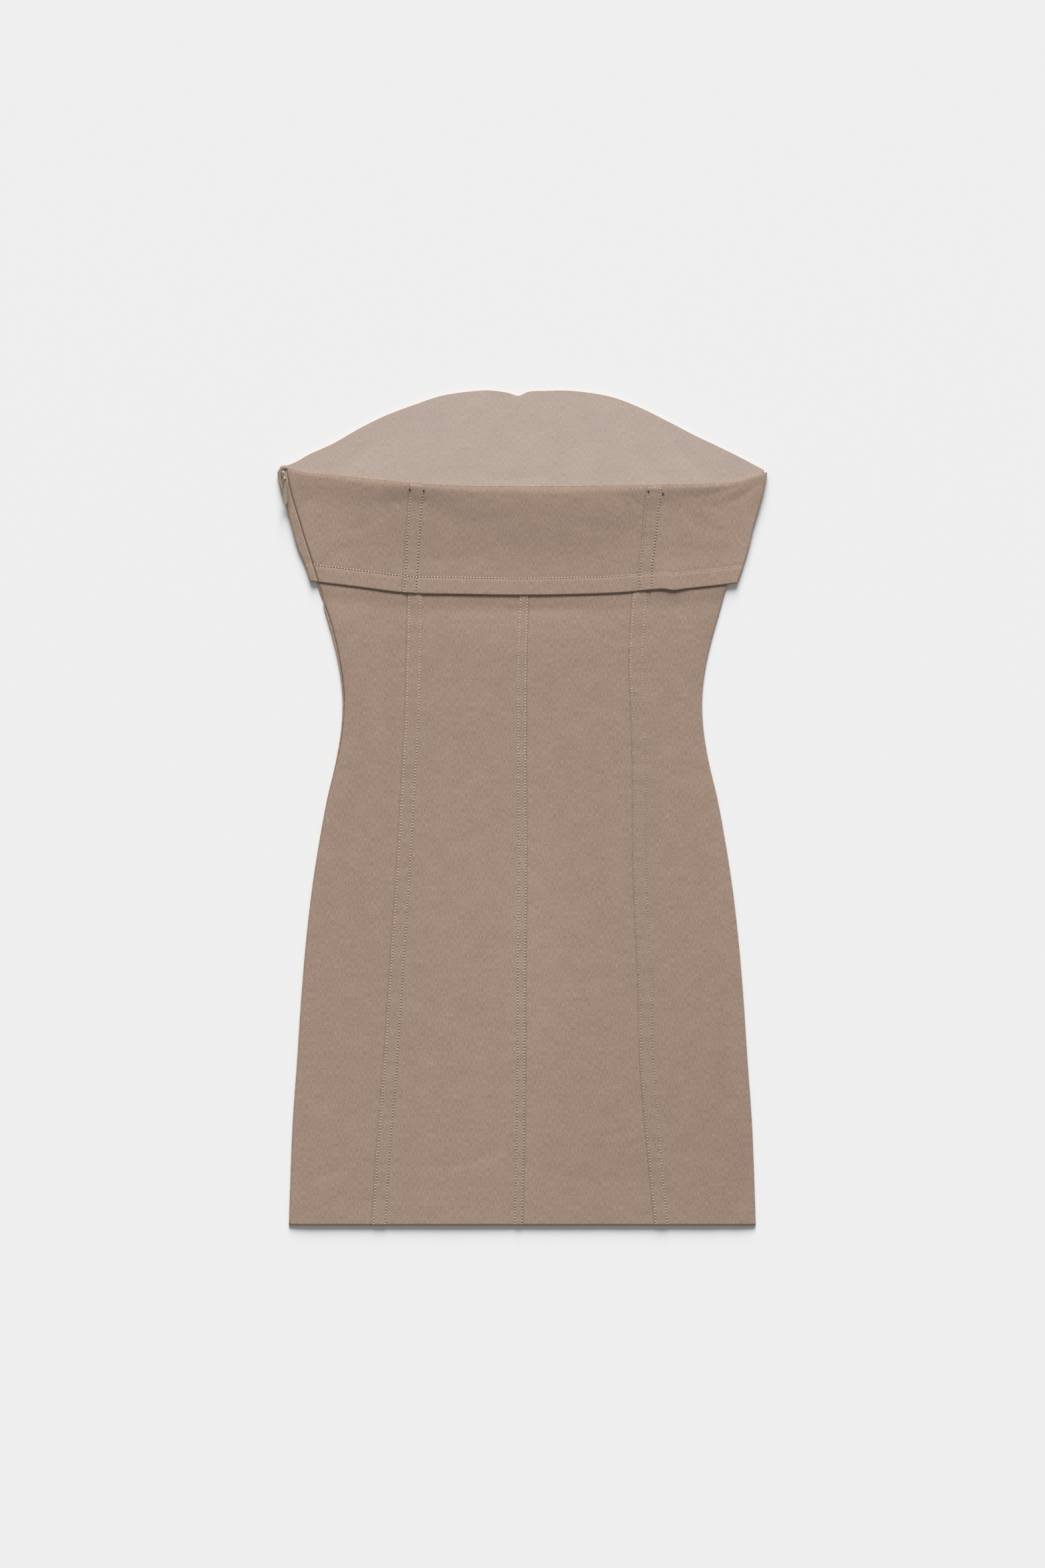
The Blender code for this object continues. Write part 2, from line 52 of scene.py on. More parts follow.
bodyEdge = table(
    "y half",
    (-388, 217.0), (-346, 215.6), (-290, 213.3), (-234, 209.3), (-178, 205.6),
    (-122, 200.9), (-67, 194.4), (-29, 188.4), (8, 181.6), (45, 173.0),
    (75, 168.2), (101, 167.1), (130, 170.1), (157, 176.0), (185, 184.0),
    (209, 190.4), (262, 207.0), (314, 224.5),
)
bandEdge = table(
    "y left right",
    (198, -193.2, 197.0), (210, -197.0, 200.2), (225, -201.6, 205.2),
    (243, -209.2, 210.6), (262, -214.4, 215.0), (281, -219.4, 220.6),
    (299, -225.4, 225.2), (314, -227.9, 227.9),
)
zipLine = table(
    "y x",
    (38, -173.0), (64, -168.6), (104, -165.6), (140, -170.2), (167, -176.3),
    (209, -190.4), (262, -205.3), (303, -216.9), (318, -219.0),
)
backSeams = table(
    "y left centre right",
    (-388, -140.3, 1.0, 122.4), (-308, -135.2, 2.9, 114.6), (-240, -129.6, 3.6, 109.2),
    (-154, -123.9, 3.9, 106.8), (-69, -118.2, 4.8, 102.8), (34, -112.2, 4.3, 102.1),
    (90, -109.2, 4.4, 100.5), (136, -108.2, 4.6, 98.9), (198, -106.8, 6.4, 102.1),
    (300, -104.9, 6.4, 111.0),
)
bandSeams = table(
    "y left right",
    (198, -111.8, 107.5), (224, -110.1, 107.7), (245, -108.8, 110.4),
    (287, -105.8, 114.6), (302, -104.4, 116.8),
)
sweetheart = table(
    "x y",
    (-228, 311.5), (-226, 315.8), (-218, 318.8), (-211, 321.6), (-200, 327.8),
    (-175, 339.4), (-151, 353.2), (-126, 365.4), (-101, 374.8), (-76, 383.2),
    (-51, 387.2), (-30, 388.4), (-11, 385.6), (-3.5, 383.4), (4, 386.6), (23, 388.0),
    (35, 388.4), (60, 386.6), (85, 381.8), (110, 372.2), (135, 359.8), (160, 346.8),
    (185, 334.9), (210, 322.3), (228, 312.5),
)
foldLine = table(
    "x y",
    (-219, 317.0), (-206, 313.2), (-176, 310.0), (-127, 305.0), (-76, 300.8),
    (0, 299.5), (73, 300.0), (135, 301.0), (172, 302.0), (197, 304.0),
    (212, 308.0), (228, 312.5),
)
freeEdge = table(
    "x y",
    (-197, 211.0), (-151, 205.5), (-113, 200.6), (-51, 198.7), (-2, 198.0),
    (48, 198.7), (97, 200.8), (122, 203.2), (132, 203.6), (141, 202.4),
    (150, 203.6), (184, 207.4), (200, 209.4),
)


def smooth(xs, ys, at):
    at = np.asarray(at, dtype=float)
    slope = np.gradient(ys, xs)
    step = np.clip(np.searchsorted(xs, at) - 1, 0, len(xs) - 2)
    width = xs[step + 1] - xs[step]
    part = (at - xs[step]) / width
    p = np.clip(part, 0.0, 1.0)
    value = (
        ys[step] * (1 + 2 * p) * (1 - p) ** 2
        + slope[step] * width * p * (1 - p) ** 2
        + ys[step + 1] * p**2 * (3 - 2 * p)
        + slope[step + 1] * width * p**2 * (p - 1)
    )
    return value + np.where(part > 1.0, slope[step + 1], slope[step]) * (part - p) * width


def ramp(value, start, end):
    part = np.clip((np.asarray(value, dtype=float) - start) / (end - start), 0.0, 1.0)
    return part * part * (3 - 2 * part)


def bump(value, middle, width):
    return np.exp(-(((value - middle) / width) ** 2))


def halfWidth(y):
    return smooth(bodyEdge["y"], bodyEdge["half"], y)


def seamX(which, y):
    return smooth(backSeams["y"], backSeams[which], y)


def bandSeamX(which, y):
    return smooth(bandSeams["y"], bandSeams[which], y)


def bandEdgeX(which, y):
    return smooth(bandEdge["y"], bandEdge[which], y)


def topEdge(x):
    return smooth(sweetheart["x"], sweetheart["y"], x)


def foldY(x):
    return smooth(foldLine["x"], foldLine["y"], x)


def freeY(x):
    return smooth(freeEdge["x"], freeEdge["y"], x)


def zipX(y):
    # below the zip the side seam goes on just inside the edge
    along = smooth(zipLine["y"], zipLine["x"], y)
    below = -halfWidth(y) + lay["sideSeamInset"]
    return below + (np.maximum(along, below) - below) * ramp(y, 20, 60)


# How the cloth lies: heights of the layers, and the relief that the sewing gives them
lay = {
    "cloth": 0.8,          # room that each layer takes
    "gap": 0.1,
    "shown": 0.7,          # wall of the woven shell inside that room
    "loft": 1.5,           # air under the middle of the back
    "loftHem": 1.2,
    "rollOff": 24.0,       # width over which the back rounds down to its side edge
    "facingDepth": 32.0,   # facing hidden below the back's fold
    "sideSeamInset": 1.3,
    "edgeSquare": 0.6,     # below 1 the side edges are squarer than a circle
    "stepRows": (-17.0, -1.5),
    "facingStep": (-55.0, 12.0),
    "pressed": 0.5,        # how far the band's free edge sinks into the cloth under it
}
strips = {
    "width": 12.9,         # seam allowances pressed to one side, stitched at both edges
    "centreWidth": 8.0,
    "nearRow": 2.0,
    "raise": 0.42,
    "quilt": 0.2,          # how far a stitch row pulls the cloth down
    "ditch": 0.25,         # depth of the seam itself
    "pucker": 0.06,
}
swells = table(
    "x y wide long high",
    (-60, 120, 45, 120, 0.5), (55, 60, 40, 140, 0.45), (-75, -150, 40, 160, 0.4),
    (60, -210, 38, 150, 0.5), (160, -250, 26, 120, 0.45), (-170, -200, 24, 150, 0.4),
    (140, 80, 18, 110, 0.3), (-138, 60, 18, 110, 0.3),
)
# Soft creases and crinkles, each a trough (or a ridge where deep is below zero)
creases = table(
    "x y turn long wide deep",
    (208, -350, 70, 40, 7, 0.5), (196, -300, 80, 60, 9, -0.25),
    (88, 170, -35, 16, 3.0, 0.16), (80, 158, -20, 12, 2.6, 0.12), (93, 148, 15, 14, 3, -0.12),
    (-50, -27, 20, 26, 5, 0.14), (-86, -232, -50, 15, 3, 0.16), (-80, -246, -62, 17, 3.2, -0.14),
    (-92, -262, -40, 12, 3, 0.12), (88, -303, 15, 14, 3, 0.16), (97, -311, 30, 12, 2.6, -0.12),
    (-150, 20, 75, 60, 9, 0.22), (-160, 70, 60, 30, 6, 0.2), (150, 120, -60, 34, 6, 0.22),
    (152, 60, -78, 52, 8, 0.2), (40, -60, 84, 90, 14, 0.2), (-40, 150, -80, 50, 9, 0.16),
    (165, -60, 80, 80, 10, 0.2), (-178, -90, 82, 80, 10, 0.2), (-60, -330, 10, 44, 6, 0.18),
    (60, -345, -8, 50, 7, 0.16), (-180, -340, 20, 26, 6, 0.2), (30, 185, 4, 60, 5, 0.15),
)
bandCreases = table(
    "x y turn long wide deep",
    (-199, 286, 60, 9, 2.6, 0.22), (-203, 276, 55, 8, 2.4, -0.15), (-119, 286, -50, 9, 2.8, 0.3),
    (-90, 284, 40, 8, 2.8, 0.25), (104, 286, -50, 8, 2.8, 0.28), (133, 284, 40, 8, 2.8, 0.28),
    (-150, 262, 20, 24, 5, 0.2), (-30, 268, 3, 40, 6, 0.15), (60, 262, -8, 36, 7, 0.2),
    (170, 262, -25, 30, 6, 0.25), (190, 236, 60, 18, 5, 0.22), (-60, 232, 5, 34, 5, 0.15),
    (176, 292, 12, 26, 4, 0.3), (206, 291, 35, 16, 4, 0.45), (-176, 232, 35, 20, 5, 0.2),
)


def creased(rows, x, y):
    depth = np.zeros(np.broadcast(x, y).shape)
    for cx, cy, turn, long, wide, deep in zip(*(rows[key] for key in rows)):
        c, s = math.cos(math.radians(turn)), math.sin(math.radians(turn))
        along = (x - cx) * c + (y - cy) * s
        bow = 0.12 * along * along / long      # a crease is never quite straight
        across = -(x - cx) * s + (y - cy) * c - bow
        depth += deep * np.exp(-((along / long) ** 2) - (across / wide) ** 2)
    return depth


def wander(t, seed, waves=((37.0, 1.0), (17.0, 0.7), (9.0, 0.5), (6.1, 0.35))):
    # a smooth uneven line between about -1 and 1, the same each run
    draw = np.random.default_rng(seed)
    total = np.zeros(np.shape(t))
    for length, share in waves:
        shift, stretch = draw.uniform(0, 2 * math.pi), draw.uniform(0.85, 1.2)
        total = total + share * np.sin(2 * math.pi * t / (length * stretch) + shift)
    return total / sum(share for _, share in waves)


def unevenness(x, y, seed, size):
    # low soft bumps of the cloth itself
    draw = np.random.default_rng(seed)
    total = np.zeros(np.broadcast(x, y).shape)
    for _ in range(9):
        angle, phase = draw.uniform(0, math.pi), draw.uniform(0, 2 * math.pi)
        length = size * draw.uniform(0.6, 1.6)
        run = x * math.cos(angle) + y * math.sin(angle)
        total += np.sin(2 * math.pi * run / length + phase)
    return total / 9


def stripRelief(offset, width, y, seed):
    # offset runs from the seam line over its strip; the far side is below zero
    rise = ramp(offset, 0.2, 1.3) * (1 - ramp(offset, width - 0.2, width + 1.5))
    uneven = 1 + 0.2 * wander(y, seed)
    relief = strips["raise"] * rise * uneven
    relief = relief - strips["quilt"] * (
        bump(offset, strips["nearRow"], 0.9) + bump(offset, width, 0.9)
    )
    relief = relief - 0.14 * bump(offset, width + 2.6, 1.8)
    relief = relief - strips["ditch"] * bump(offset, -0.1, 0.7)
    beside = bump(offset, width + 2.0, 6.5) + bump(offset, -2.0, 5.5)
    return relief + strips["pucker"] * wander(y, seed + 1) * (beside + 0.5 * rise)


def frontUnder(x, y):
    edge = freeY(x)
    low, high = lay["stepRows"]
    return (lay["cloth"] + lay["gap"]) * ramp(y, edge + low, edge + high)


def facingStart(x):
    return foldY(x) - lay["facingDepth"]


def backUnder(x, y):
    low, high = lay["stepRows"]
    step = lay["cloth"] + lay["gap"]
    below = frontUnder(x, y) + step
    start, end = lay["facingStep"]
    below = below + step * ramp(y, facingStart(x) + start, facingStart(x) + end)
    inside = np.clip((halfWidth(y) - np.abs(x)) / lay["rollOff"], 0.0, 1.0)
    rolled = np.sqrt(1 - (1 - inside) ** 2)
    loft = lay["loftHem"] + (lay["loft"] - lay["loftHem"]) * ramp(y, hemY, hemY + 90)
    loft = loft * (1 - ramp(y, bandY - 40, bandY + 40))
    swell = 0.0
    for cx, cy, wide, long, high in zip(*(swells[key] for key in swells)):
        swell = swell + high * np.exp(-(((x - cx) / wide) ** 2) - ((y - cy) / long) ** 2)
    swell = swell * (1 - ramp(y, bandY - 60, bandY - 10)) * ramp(y, hemY, hemY + 60)
    return below + (loft + swell) * rolled


def backRelief(x, y):
    pressed = lay["pressed"] * bump(y, freeY(x) + 0.3, 1.2)
    show = 1 - ramp(y, freeY(x) + 0.5, freeY(x) + 7)
    relief = stripRelief(x - seamX("left", y), strips["width"], y, 11)
    relief = relief + stripRelief(x - seamX("right", y), strips["width"], y, 23)
    relief = relief + stripRelief(seamX("centre", y) - x, strips["centreWidth"], y, 31)
    inside = np.clip((halfWidth(y) - np.abs(x)) / 14.0, 0.0, 1.0)
    relief = relief - intoSeam(x - zipX(y)) * ramp(y, 30, 60)
    soft = 0.16 * unevenness(x, y, 5, 90) + 0.05 * unevenness(x, y, 6, 26)
    relief = relief + (soft - creased(creases, x, y)) * ramp(inside, 0, 1)
    return (relief + 0.06 * wander(x, 41) * ramp(y, hemY + 60, hemY)) * show - pressed


def backMid(x, y):
    return backUnder(x, y) + lay["cloth"] / 2 + backRelief(x, y)


# The band
band = {
    "foldRadius": 0.62,    # the tight turn at the top of the back
    "foldSquare": 0.4,     # below 1 the turn is squarer than a circle
    "foldSlope": 0.13,     # rise of the soft crown behind the turn, for each millimetre of it
    "foldPaintedShade": 0.2,       # painted shade, darker along the very fold
    "tuck": 1.4,
    "hemDepth": 15.5,      # from the hem's stitch row to the free edge
    "hemStep": 0.24,
    "rimRadius": 0.8,      # the front's top edge, turned in under its facing
    "rimInset": 1.1,
}


# Along the fold: width of the crown, and how far below it the band is flat again
foldShape = table(
    "x wide fall",
    (-230, 2.2, 40), (-200, 2.8, 26), (-175, 4.4, 24), (-140, 5.2, 22), (-101, 4.2, 14),
    (-62, 5.0, 28), (0, 7.2, 55), (55, 8.0, 60), (85, 6.6, 50), (120, 4.8, 26),
    (160, 3.6, 18), (196, 3.8, 24), (230, 2.6, 40),
)


# The band's free hem is pressed to the back at places and stands off it at others
hemLift = table(
    "x lift",
    (-230, -0.1), (-195, -0.2), (-160, -0.15), (-142, 0.0), (-110, 0.1), (-60, 0.2),
    (0, 0.25), (50, 0.1), (90, 0.0), (112, 0.0), (128, 0.5), (140, 0.7), (152, 0.1),
    (175, -0.05), (200, -0.15), (230, -0.1),
)


def foldCentre(x):
    return foldY(x) - band["foldRadius"] - lay["shown"] / 2


def bandUnder(x, y):
    edge = freeY(x)
    lift = smooth(hemLift["x"], hemLift["lift"], x) * (1 - ramp(y, edge, edge + 34))
    return backUnder(x, y) + lay["cloth"] + lay["gap"] + lift


def hemRelief(row):
    # row is the height over the hem's stitches; the turned hem below them is thicker
    return band["hemStep"] * (1 - ramp(row, -2.8, 0.4)) - 0.12 * bump(row, 0.4, 1.4)


def bandRelief(x, y):
    near = stripRelief(x - bandSeamX("left", y), strips["width"], y, 61)
    near = near + stripRelief(x - bandSeamX("right", y), strips["width"], y, 71)
    row = y - freeY(x) - band["hemDepth"]
    hem = hemRelief(row)
    hem = hem + 0.09 * wander(x, 81) * bump(row, 2, 6)
    soft = 0.1 * unevenness(x, y, 8, 70) + 0.04 * unevenness(x, y, 9, 22)
    return near + hem + soft - creased(bandCreases, x, y) - intoSeam(x - zipX(y))


def bandMid(x, y):
    centre = foldCentre(x)
    wide = smooth(foldShape["x"], foldShape["wide"], x)
    fall = smooth(foldShape["x"], foldShape["fall"], x)
    rise = band["foldSlope"] * wide
    down = np.maximum(centre - y, 0.0)
    flat = bandUnder(x, y) + lay["cloth"] / 2
    turn = backUnder(x, centre) + lay["cloth"] / 2 + 2 * band["foldRadius"]
    high = flat + (turn + rise - flat) * (1 - ramp(down, wide * 0.8, wide + fall))
    near = np.clip(1 - down / wide, 0.0, 1.0)
    fade = 1 - 0.8 * ramp(near, 0.4, 1.0)
    return high - rise * near * near + bandRelief(x, y) * fade


# Meshes from rows and columns of points
def normalsOf(grid):
    across = np.cross(np.gradient(grid, axis=0), np.gradient(grid, axis=1))
    return across / np.maximum(np.linalg.norm(across, axis=2, keepdims=True), 1e-9)


def latticeOf(columnX, rowY, across, along):
    # columnX(u, y) and rowY(v, x) cross at each point
    u, v = np.meshgrid(across, along, indexing="ij")
    x = columnX(u, np.zeros_like(v))
    y = rowY(v, x)
    for _ in range(10):
        x = columnX(u, y)
        y = rowY(v, x)
    return x, y


def stacked(x, y, z):
    return np.stack(np.broadcast_arrays(x, y, z), axis=2).astype(float)


def addMesh(name, points, faces, uv=None):
    mesh = bpy.data.meshes.new(name)
    mesh.from_pydata((np.asarray(points) * mm).tolist(), [], faces)
    if uv is not None:
        layer = mesh.uv_layers.new(name="cloth")
        loops = np.empty(len(mesh.loops), dtype=np.int32)
        mesh.loops.foreach_get("vertex_index", loops)
        layer.data.foreach_set("uv", (np.asarray(uv)[loops] * mm).ravel())
    mesh.shade_smooth()
    piece = bpy.data.objects.new(name, mesh)
    bpy.context.scene.collection.objects.link(piece)
    return piece


def clothShell(name, mid, uv, paintedShading, thickness=lay["shown"]):
    # a closed thin wall with a rounded rim; uv follows the weave, in millimetres
    normal = normalsOf(mid)
    across, along = mid.shape[:2]
    count = across * along
    outer = (mid + normal * thickness / 2).reshape(-1, 3)
    inner = (mid - normal * thickness / 2).reshape(-1, 3)
    rim = [(i, 0) for i in range(across)]
    rim += [(across - 1, j) for j in range(1, along)]
    rim += [(i, along - 1) for i in range(across - 2, -1, -1)]
    rim += [(0, j) for j in range(along - 2, 0, -1)]
    inward = [
        (min(max(i, 1), across - 2), min(max(j, 1), along - 2)) for i, j in rim
    ]
    edge = np.array([mid[i, j] for i, j in rim])
    within = np.array([mid[i, j] for i, j in inward])
    out = edge - within
    out /= np.maximum(np.linalg.norm(out, axis=1, keepdims=True), 1e-9)
    edge = edge + out * thickness * 0.3
    points = np.concatenate([outer, inner, edge])
    weave = uv.reshape(-1, 2)
    weave = np.concatenate([weave, weave, np.array([uv[i, j] for i, j in rim])])
    i, j = np.meshgrid(np.arange(across - 1), np.arange(along - 1), indexing="ij")
    a = (i * along + j).ravel()
    b, c, d = a + along, a + along + 1, a + 1
    faces = np.stack([a, b, c, d], axis=1).tolist()
    faces += np.stack([d + count, c + count, b + count, a + count], axis=1).tolist()
    ring = [p * along + q for p, q in rim]
    total = len(ring)
    for k in range(total):
        m = (k + 1) % total
        p, q = ring[k], ring[m]
        e, f = 2 * count + k, 2 * count + m
        faces.append([p, e, f, q])
        faces.append([e, p + count, q + count, f])
    piece = addMesh(name, points, faces, weave)
    # painted light and shade for each point, which lightens or darkens the cloth's colour
    tone = piece.data.attributes.new("paintedShading", "FLOAT", "POINT")
    tone.data.foreach_set("value", paintedShading(points[:, 0], points[:, 1]))
    return piece


def paintedShadingSpots(rows, x, y):
    # painted light and shade: how much lighter or darker the cloth's colour is drawn, a soft spot for
    # each row
    tone = np.zeros(len(x))
    for cx, cy, wide, long, light in zip(*(rows[key] for key in rows)):
        tone += light * np.exp(-(((x - cx) / wide) ** 2) - ((y - cy) / long) ** 2)
    return tone


def declare(piece, node):
    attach(piece, "dress")
    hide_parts(node)


def near(edge, fine, step, reach):
    # distances from an edge, close together at first
    first = [0.0, 0.2, 0.45, 0.8]
    return first + list(np.arange(1.3, edge, fine)) + list(np.arange(edge, reach, step))


def intoSeam(distance):
    # the edges along the zip turn down into its seam
    return 1.25 * bump(distance, 0.0, 0.75)


# Materials
def srgb(hexCode):
    values = [int(hexCode[k : k + 2], 16) / 255 for k in (1, 3, 5)]
    linear = [v / 12.92 if v <= 0.04045 else ((v + 0.055) / 1.055) ** 2.4 for v in values]
    return (*linear, 1.0)


def addNode(tree, kind, inputs=None, **settings):
    node = tree.nodes.new(kind)
    for key, value in settings.items():
        setattr(node, key, value)
    for key, value in (inputs or {}).items():
        if isinstance(value, bpy.types.NodeSocket):
            tree.links.new(value, node.inputs[key])
        else:
            node.inputs[key].default_value = value
    return node


shellCloth = {
    "light": "#B49D8E", "dark": "#897363", "grain": 0.85, "streakWide": 0.75,
    "streakLong": 4.5, "mottle": 16.0, "thread": 0.8, "roughness": 0.88, "bump": 0.07,
}
facingCloth = {
    "light": "#C7B6AA", "dark": "#AD9B90", "grain": 0.9, "streakWide": 1.0,
    "streakLong": 3.5, "mottle": 22.0, "thread": 0.8, "roughness": 0.84, "bump": 0.05,
}


def wovenCloth(name, cloth):
    # Brushed cotton with a little stretch: a fine melange grain with short warp streaks
    # along the piece, under a matt bloom. The paintedShading attribute adds painted light and shade to
    # it in wide soft spots.
    material = bpy.data.materials.new(name)
    material.use_nodes = True
    tree = material.node_tree
    shader = tree.nodes["Principled BSDF"]
    shader.inputs["Roughness"].default_value = cloth["roughness"]
    shader.inputs["Specular IOR Level"].default_value = 0.2
    shader.inputs["Sheen Weight"].default_value = 0.06
    shader.inputs["Sheen Roughness"].default_value = 0.5
    place = addNode(tree, "ShaderNodeUVMap", uv_map="cloth").outputs["UV"]

    def scaled(wide, long):
        size = (1 / (wide * mm), 1 / (long * mm), 1.0)
        return addNode(
            tree, "ShaderNodeMapping", {"Vector": place, "Scale": size}
        ).outputs["Vector"]

    def noise(wide, long, detail):
        return addNode(
            tree, "ShaderNodeTexNoise",
            {"Vector": scaled(wide, long), "Scale": 1.0, "Detail": detail},
        ).outputs["Fac"]

    def joined(value, share, base):
        return addNode(
            tree, "ShaderNodeMath", {0: value, 1: share, 2: base}, operation="MULTIPLY_ADD"
        ).outputs[0]

    grain = noise(cloth["grain"], cloth["grain"], 1.0)
    streaks = noise(cloth["streakWide"], cloth["streakLong"], 1.0)
    mottle = noise(cloth["mottle"], cloth["mottle"], 2.0)
    shade = joined(mottle, 0.1, joined(streaks, 0.4, joined(grain, 0.5, 0.0)))
    spread = addNode(
        tree, "ShaderNodeMapRange", {"Value": shade, "From Min": 0.32, "From Max": 0.68}
    ).outputs["Result"]
    melange = addNode(
        tree, "ShaderNodeMix",
        {0: spread, 6: srgb(cloth["dark"]), 7: srgb(cloth["light"])}, data_type="RGBA",
    ).outputs[2]
    # painted light and shade from the mesh attribute scales the colour's value
    paintedShading = addNode(tree, "ShaderNodeAttribute", attribute_name="paintedShading").outputs["Fac"]
    colour = addNode(
        tree, "ShaderNodeHueSaturation", {"Color": melange, "Value": joined(paintedShading, 1.0, 1.0)}
    ).outputs["Color"]
    tree.links.new(colour, shader.inputs["Base Color"])

    def threads(direction):
        return addNode(
            tree, "ShaderNodeTexWave",
            {"Vector": scaled(cloth["thread"], cloth["thread"]), "Scale": 0.5, "Distortion": 0.8},
            bands_direction=direction,
        ).outputs["Fac"]

    weave = addNode(
        tree, "ShaderNodeMath", {0: threads("X"), 1: threads("Y")}, operation="MULTIPLY"
    ).outputs[0]
    relief = addNode(
        tree, "ShaderNodeBump",
        {"Height": joined(grain, 0.8, weave), "Strength": 0.5, "Distance": cloth["bump"] * mm},
    )
    tree.links.new(relief.outputs["Normal"], shader.inputs["Normal"])
    return material


def flatColour(name, hexCode, roughness, metallic=0.0):
    material = bpy.data.materials.new(name)
    material.use_nodes = True
    shader = material.node_tree.nodes["Principled BSDF"]
    shader.inputs["Roughness"].default_value = roughness
    shader.inputs["Metallic"].default_value = metallic
    shader.inputs["Base Color"].default_value = srgb(hexCode)
    return material


def spunThread(name, hexCode):
    # Spun polyester thread: a soft two-ply twist seen as fine shading along each stitch
    material = flatColour(name, hexCode, 0.6)
    tree = material.node_tree
    shader = tree.nodes["Principled BSDF"]
    shader.inputs["Sheen Weight"].default_value = 0.1
    place = addNode(tree, "ShaderNodeTexCoord").outputs["Object"]
    twist = addNode(
        tree, "ShaderNodeTexWave",
        {"Vector": place, "Scale": 0.5 / (0.25 * mm), "Distortion": 1.0},
        bands_direction="DIAGONAL",
    ).outputs["Fac"]
    relief = addNode(
        tree, "ShaderNodeBump", {"Height": twist, "Strength": 0.4, "Distance": 0.03 * mm}
    )
    tree.links.new(relief.outputs["Normal"], shader.inputs["Normal"])
    return material


def lacqueredZinc(name):
    # Die-cast zinc under a beige lacquer: smooth, satin, a little worn in a fine random mottle of tint
    # and roughness
    material = flatColour(name, "#A79C8C", 0.45, 0.2)
    tree = material.node_tree
    shader = tree.nodes["Principled BSDF"]
    shader.inputs["Coat Weight"].default_value = 0.1
    place = addNode(tree, "ShaderNodeTexCoord").outputs["Object"]
    worn = addNode(
        tree, "ShaderNodeTexNoise", {"Vector": place, "Scale": 1 / (1.6 * mm), "Detail": 3.0}
    ).outputs["Fac"]
    rough = addNode(
        tree, "ShaderNodeMapRange", {"Value": worn, "To Min": 0.4, "To Max": 0.6}
    ).outputs["Result"]
    tree.links.new(rough, shader.inputs["Roughness"])
    tint = addNode(
        tree, "ShaderNodeMix",
        {0: worn, 6: srgb("#978B7C"), 7: srgb("#B9AE9F")}, data_type="RGBA",
    )
    tree.links.new(tint.outputs[2], shader.inputs["Base Color"])
    return material


shell = wovenCloth("brushedCottonShell", shellCloth)
facing = wovenCloth("cottonSateenFacing", facingCloth)
lightThread = spunThread("spunThread", "#D3C3B3")
# dark marks for the needle holes and back tacks: painted shade in the holes and round the tacks
paintedShadeMaterial = spunThread("paintedShadeThread", "#4C3E34")
metal = lacqueredZinc("lacqueredZinc")
print("materials made")


# Back panels
panel = {"fine": 0.75, "coarse": 2.6, "rowStep": 2.1, "seam": 0.35}
# soft spots of painted light and shade on the back panels
bodyPaintedShading = table(
    "x y wide long light",
    (0, 185, 160, 30, 0.03), (165, -250, 70, 150, -0.05), (70, -330, 60, 110, -0.035),
    (205, -330, 40, 120, -0.04), (-150, -100, 70, 200, -0.02), (10, -110, 26, 110, 0.055),
    (-70, -60, 70, 130, 0.025), (-180, 180, 40, 40, 0.06), (0, 178, 60, 22, 0.05),
)


def panelLattice(leftX, rightX, width, fine, rowY, along):
    # columns keep their distance from the nearer seam, so that the strips stay even
    low = near(fine[0], panel["fine"], panel["coarse"], width / 2)
    high = near(fine[1], panel["fine"], panel["coarse"], width / 2)
    off = np.array(low + high[::-1])
    fromRight = np.arange(len(off)) >= len(low)
    edge = np.where(fromRight, fine[1], fine[0])

    def columnX(u, y):
        k = u.astype(int)
        span = (rightX(y) - leftX(y)) / 2
        grown = (off[k] - edge[k]) * (span - edge[k]) / (width / 2 - edge[k])
        distance = np.where(off[k] <= edge[k], off[k], edge[k] + grown)
        return np.where(fromRight[k], rightX(y) - distance, leftX(y) + distance)

    return latticeOf(columnX, rowY, np.arange(len(off), dtype=float), along)


def backTop(x):
    return foldCentre(x) - band["tuck"] - 0.3


def makeBack():
    half = panel["seam"] / 2
    left, centre, right = (lambda y, k=k: seamX(k, y) for k in ("left", "centre", "right"))
    along = np.arange(0, 1.0001, panel["rowStep"] / (300.0 - hemY))
    along = along / along[-1]

    def rowY(v, x):
        return hemY + (backTop(x) - hemY) * v

    pieces = {
        "backSideLeft": ("back_side_left", zipX, left, 92.0, (6.0, 14.0), (0.125, 0.72)),
        "backCentreLeft": ("back_centre_left", left, centre, 112.0, (17.0, 14.0), (0.15, 0.72)),
        "backCentreRight": ("back_centre_right", centre, right, 96.0, (6.0, 14.0), (0.13, 0.72)),
        "backSideRight": ("back_side_right", right, halfWidth, 92.0, (17.0, 6.0), (0.125, 0.72)),
    }
    for name, (node, low, high, width, fine, flat) in pieces.items():
        lowX = lambda y, low=low: low(y) + half
        highX = lambda y, high=high: high(y) - half
        x, y = panelLattice(lowX, highX, width, fine, rowY, along)
        z = backMid(x, y)
        if name == "backSideRight":
            x, y, z = turnedDown(x, y, z, 0.8, 5)
        mid = stacked(x, y, z)
        piece = clothShell(name, mid, mid[..., :2], lambda x, y: paintedShadingSpots(bodyPaintedShading, x, y))
        piece.data.materials.append(shell)
        declare(piece, node)


def turnedDown(x, y, z, radius, steps, drop=0.0):
    # the last columns bend down round the side edge of the dress
    edge = x[-1] - radius
    last = int((x < edge - 0.4).all(axis=1).sum())
    top = z[last - 1]
    angles = np.linspace(0, math.pi / 2, steps + 1)
    outX = [edge + radius * math.sin(a) for a in angles]
    outZ = [top - radius * (1 - math.cos(a)) for a in angles]
    if drop:
        outX.append(edge + radius)
        outZ.append(top - radius - drop)
    newY = np.repeat(y[last - 1 : last], len(outX), axis=0)
    return (
        np.concatenate([x[:last], outX]),
        np.concatenate([y[:last], newY]),
        np.concatenate([z[:last], outZ]),
    )


wrapParts = (0.0, 0.015, 0.035, 0.06, 0.1, 0.16, 0.24, 0.34, 0.46, 0.6, 0.75, 0.88)
opening = {"x": -220.9, "y": 308.6, "wide": 3.3, "long": 6.2, "deep": 2.0}


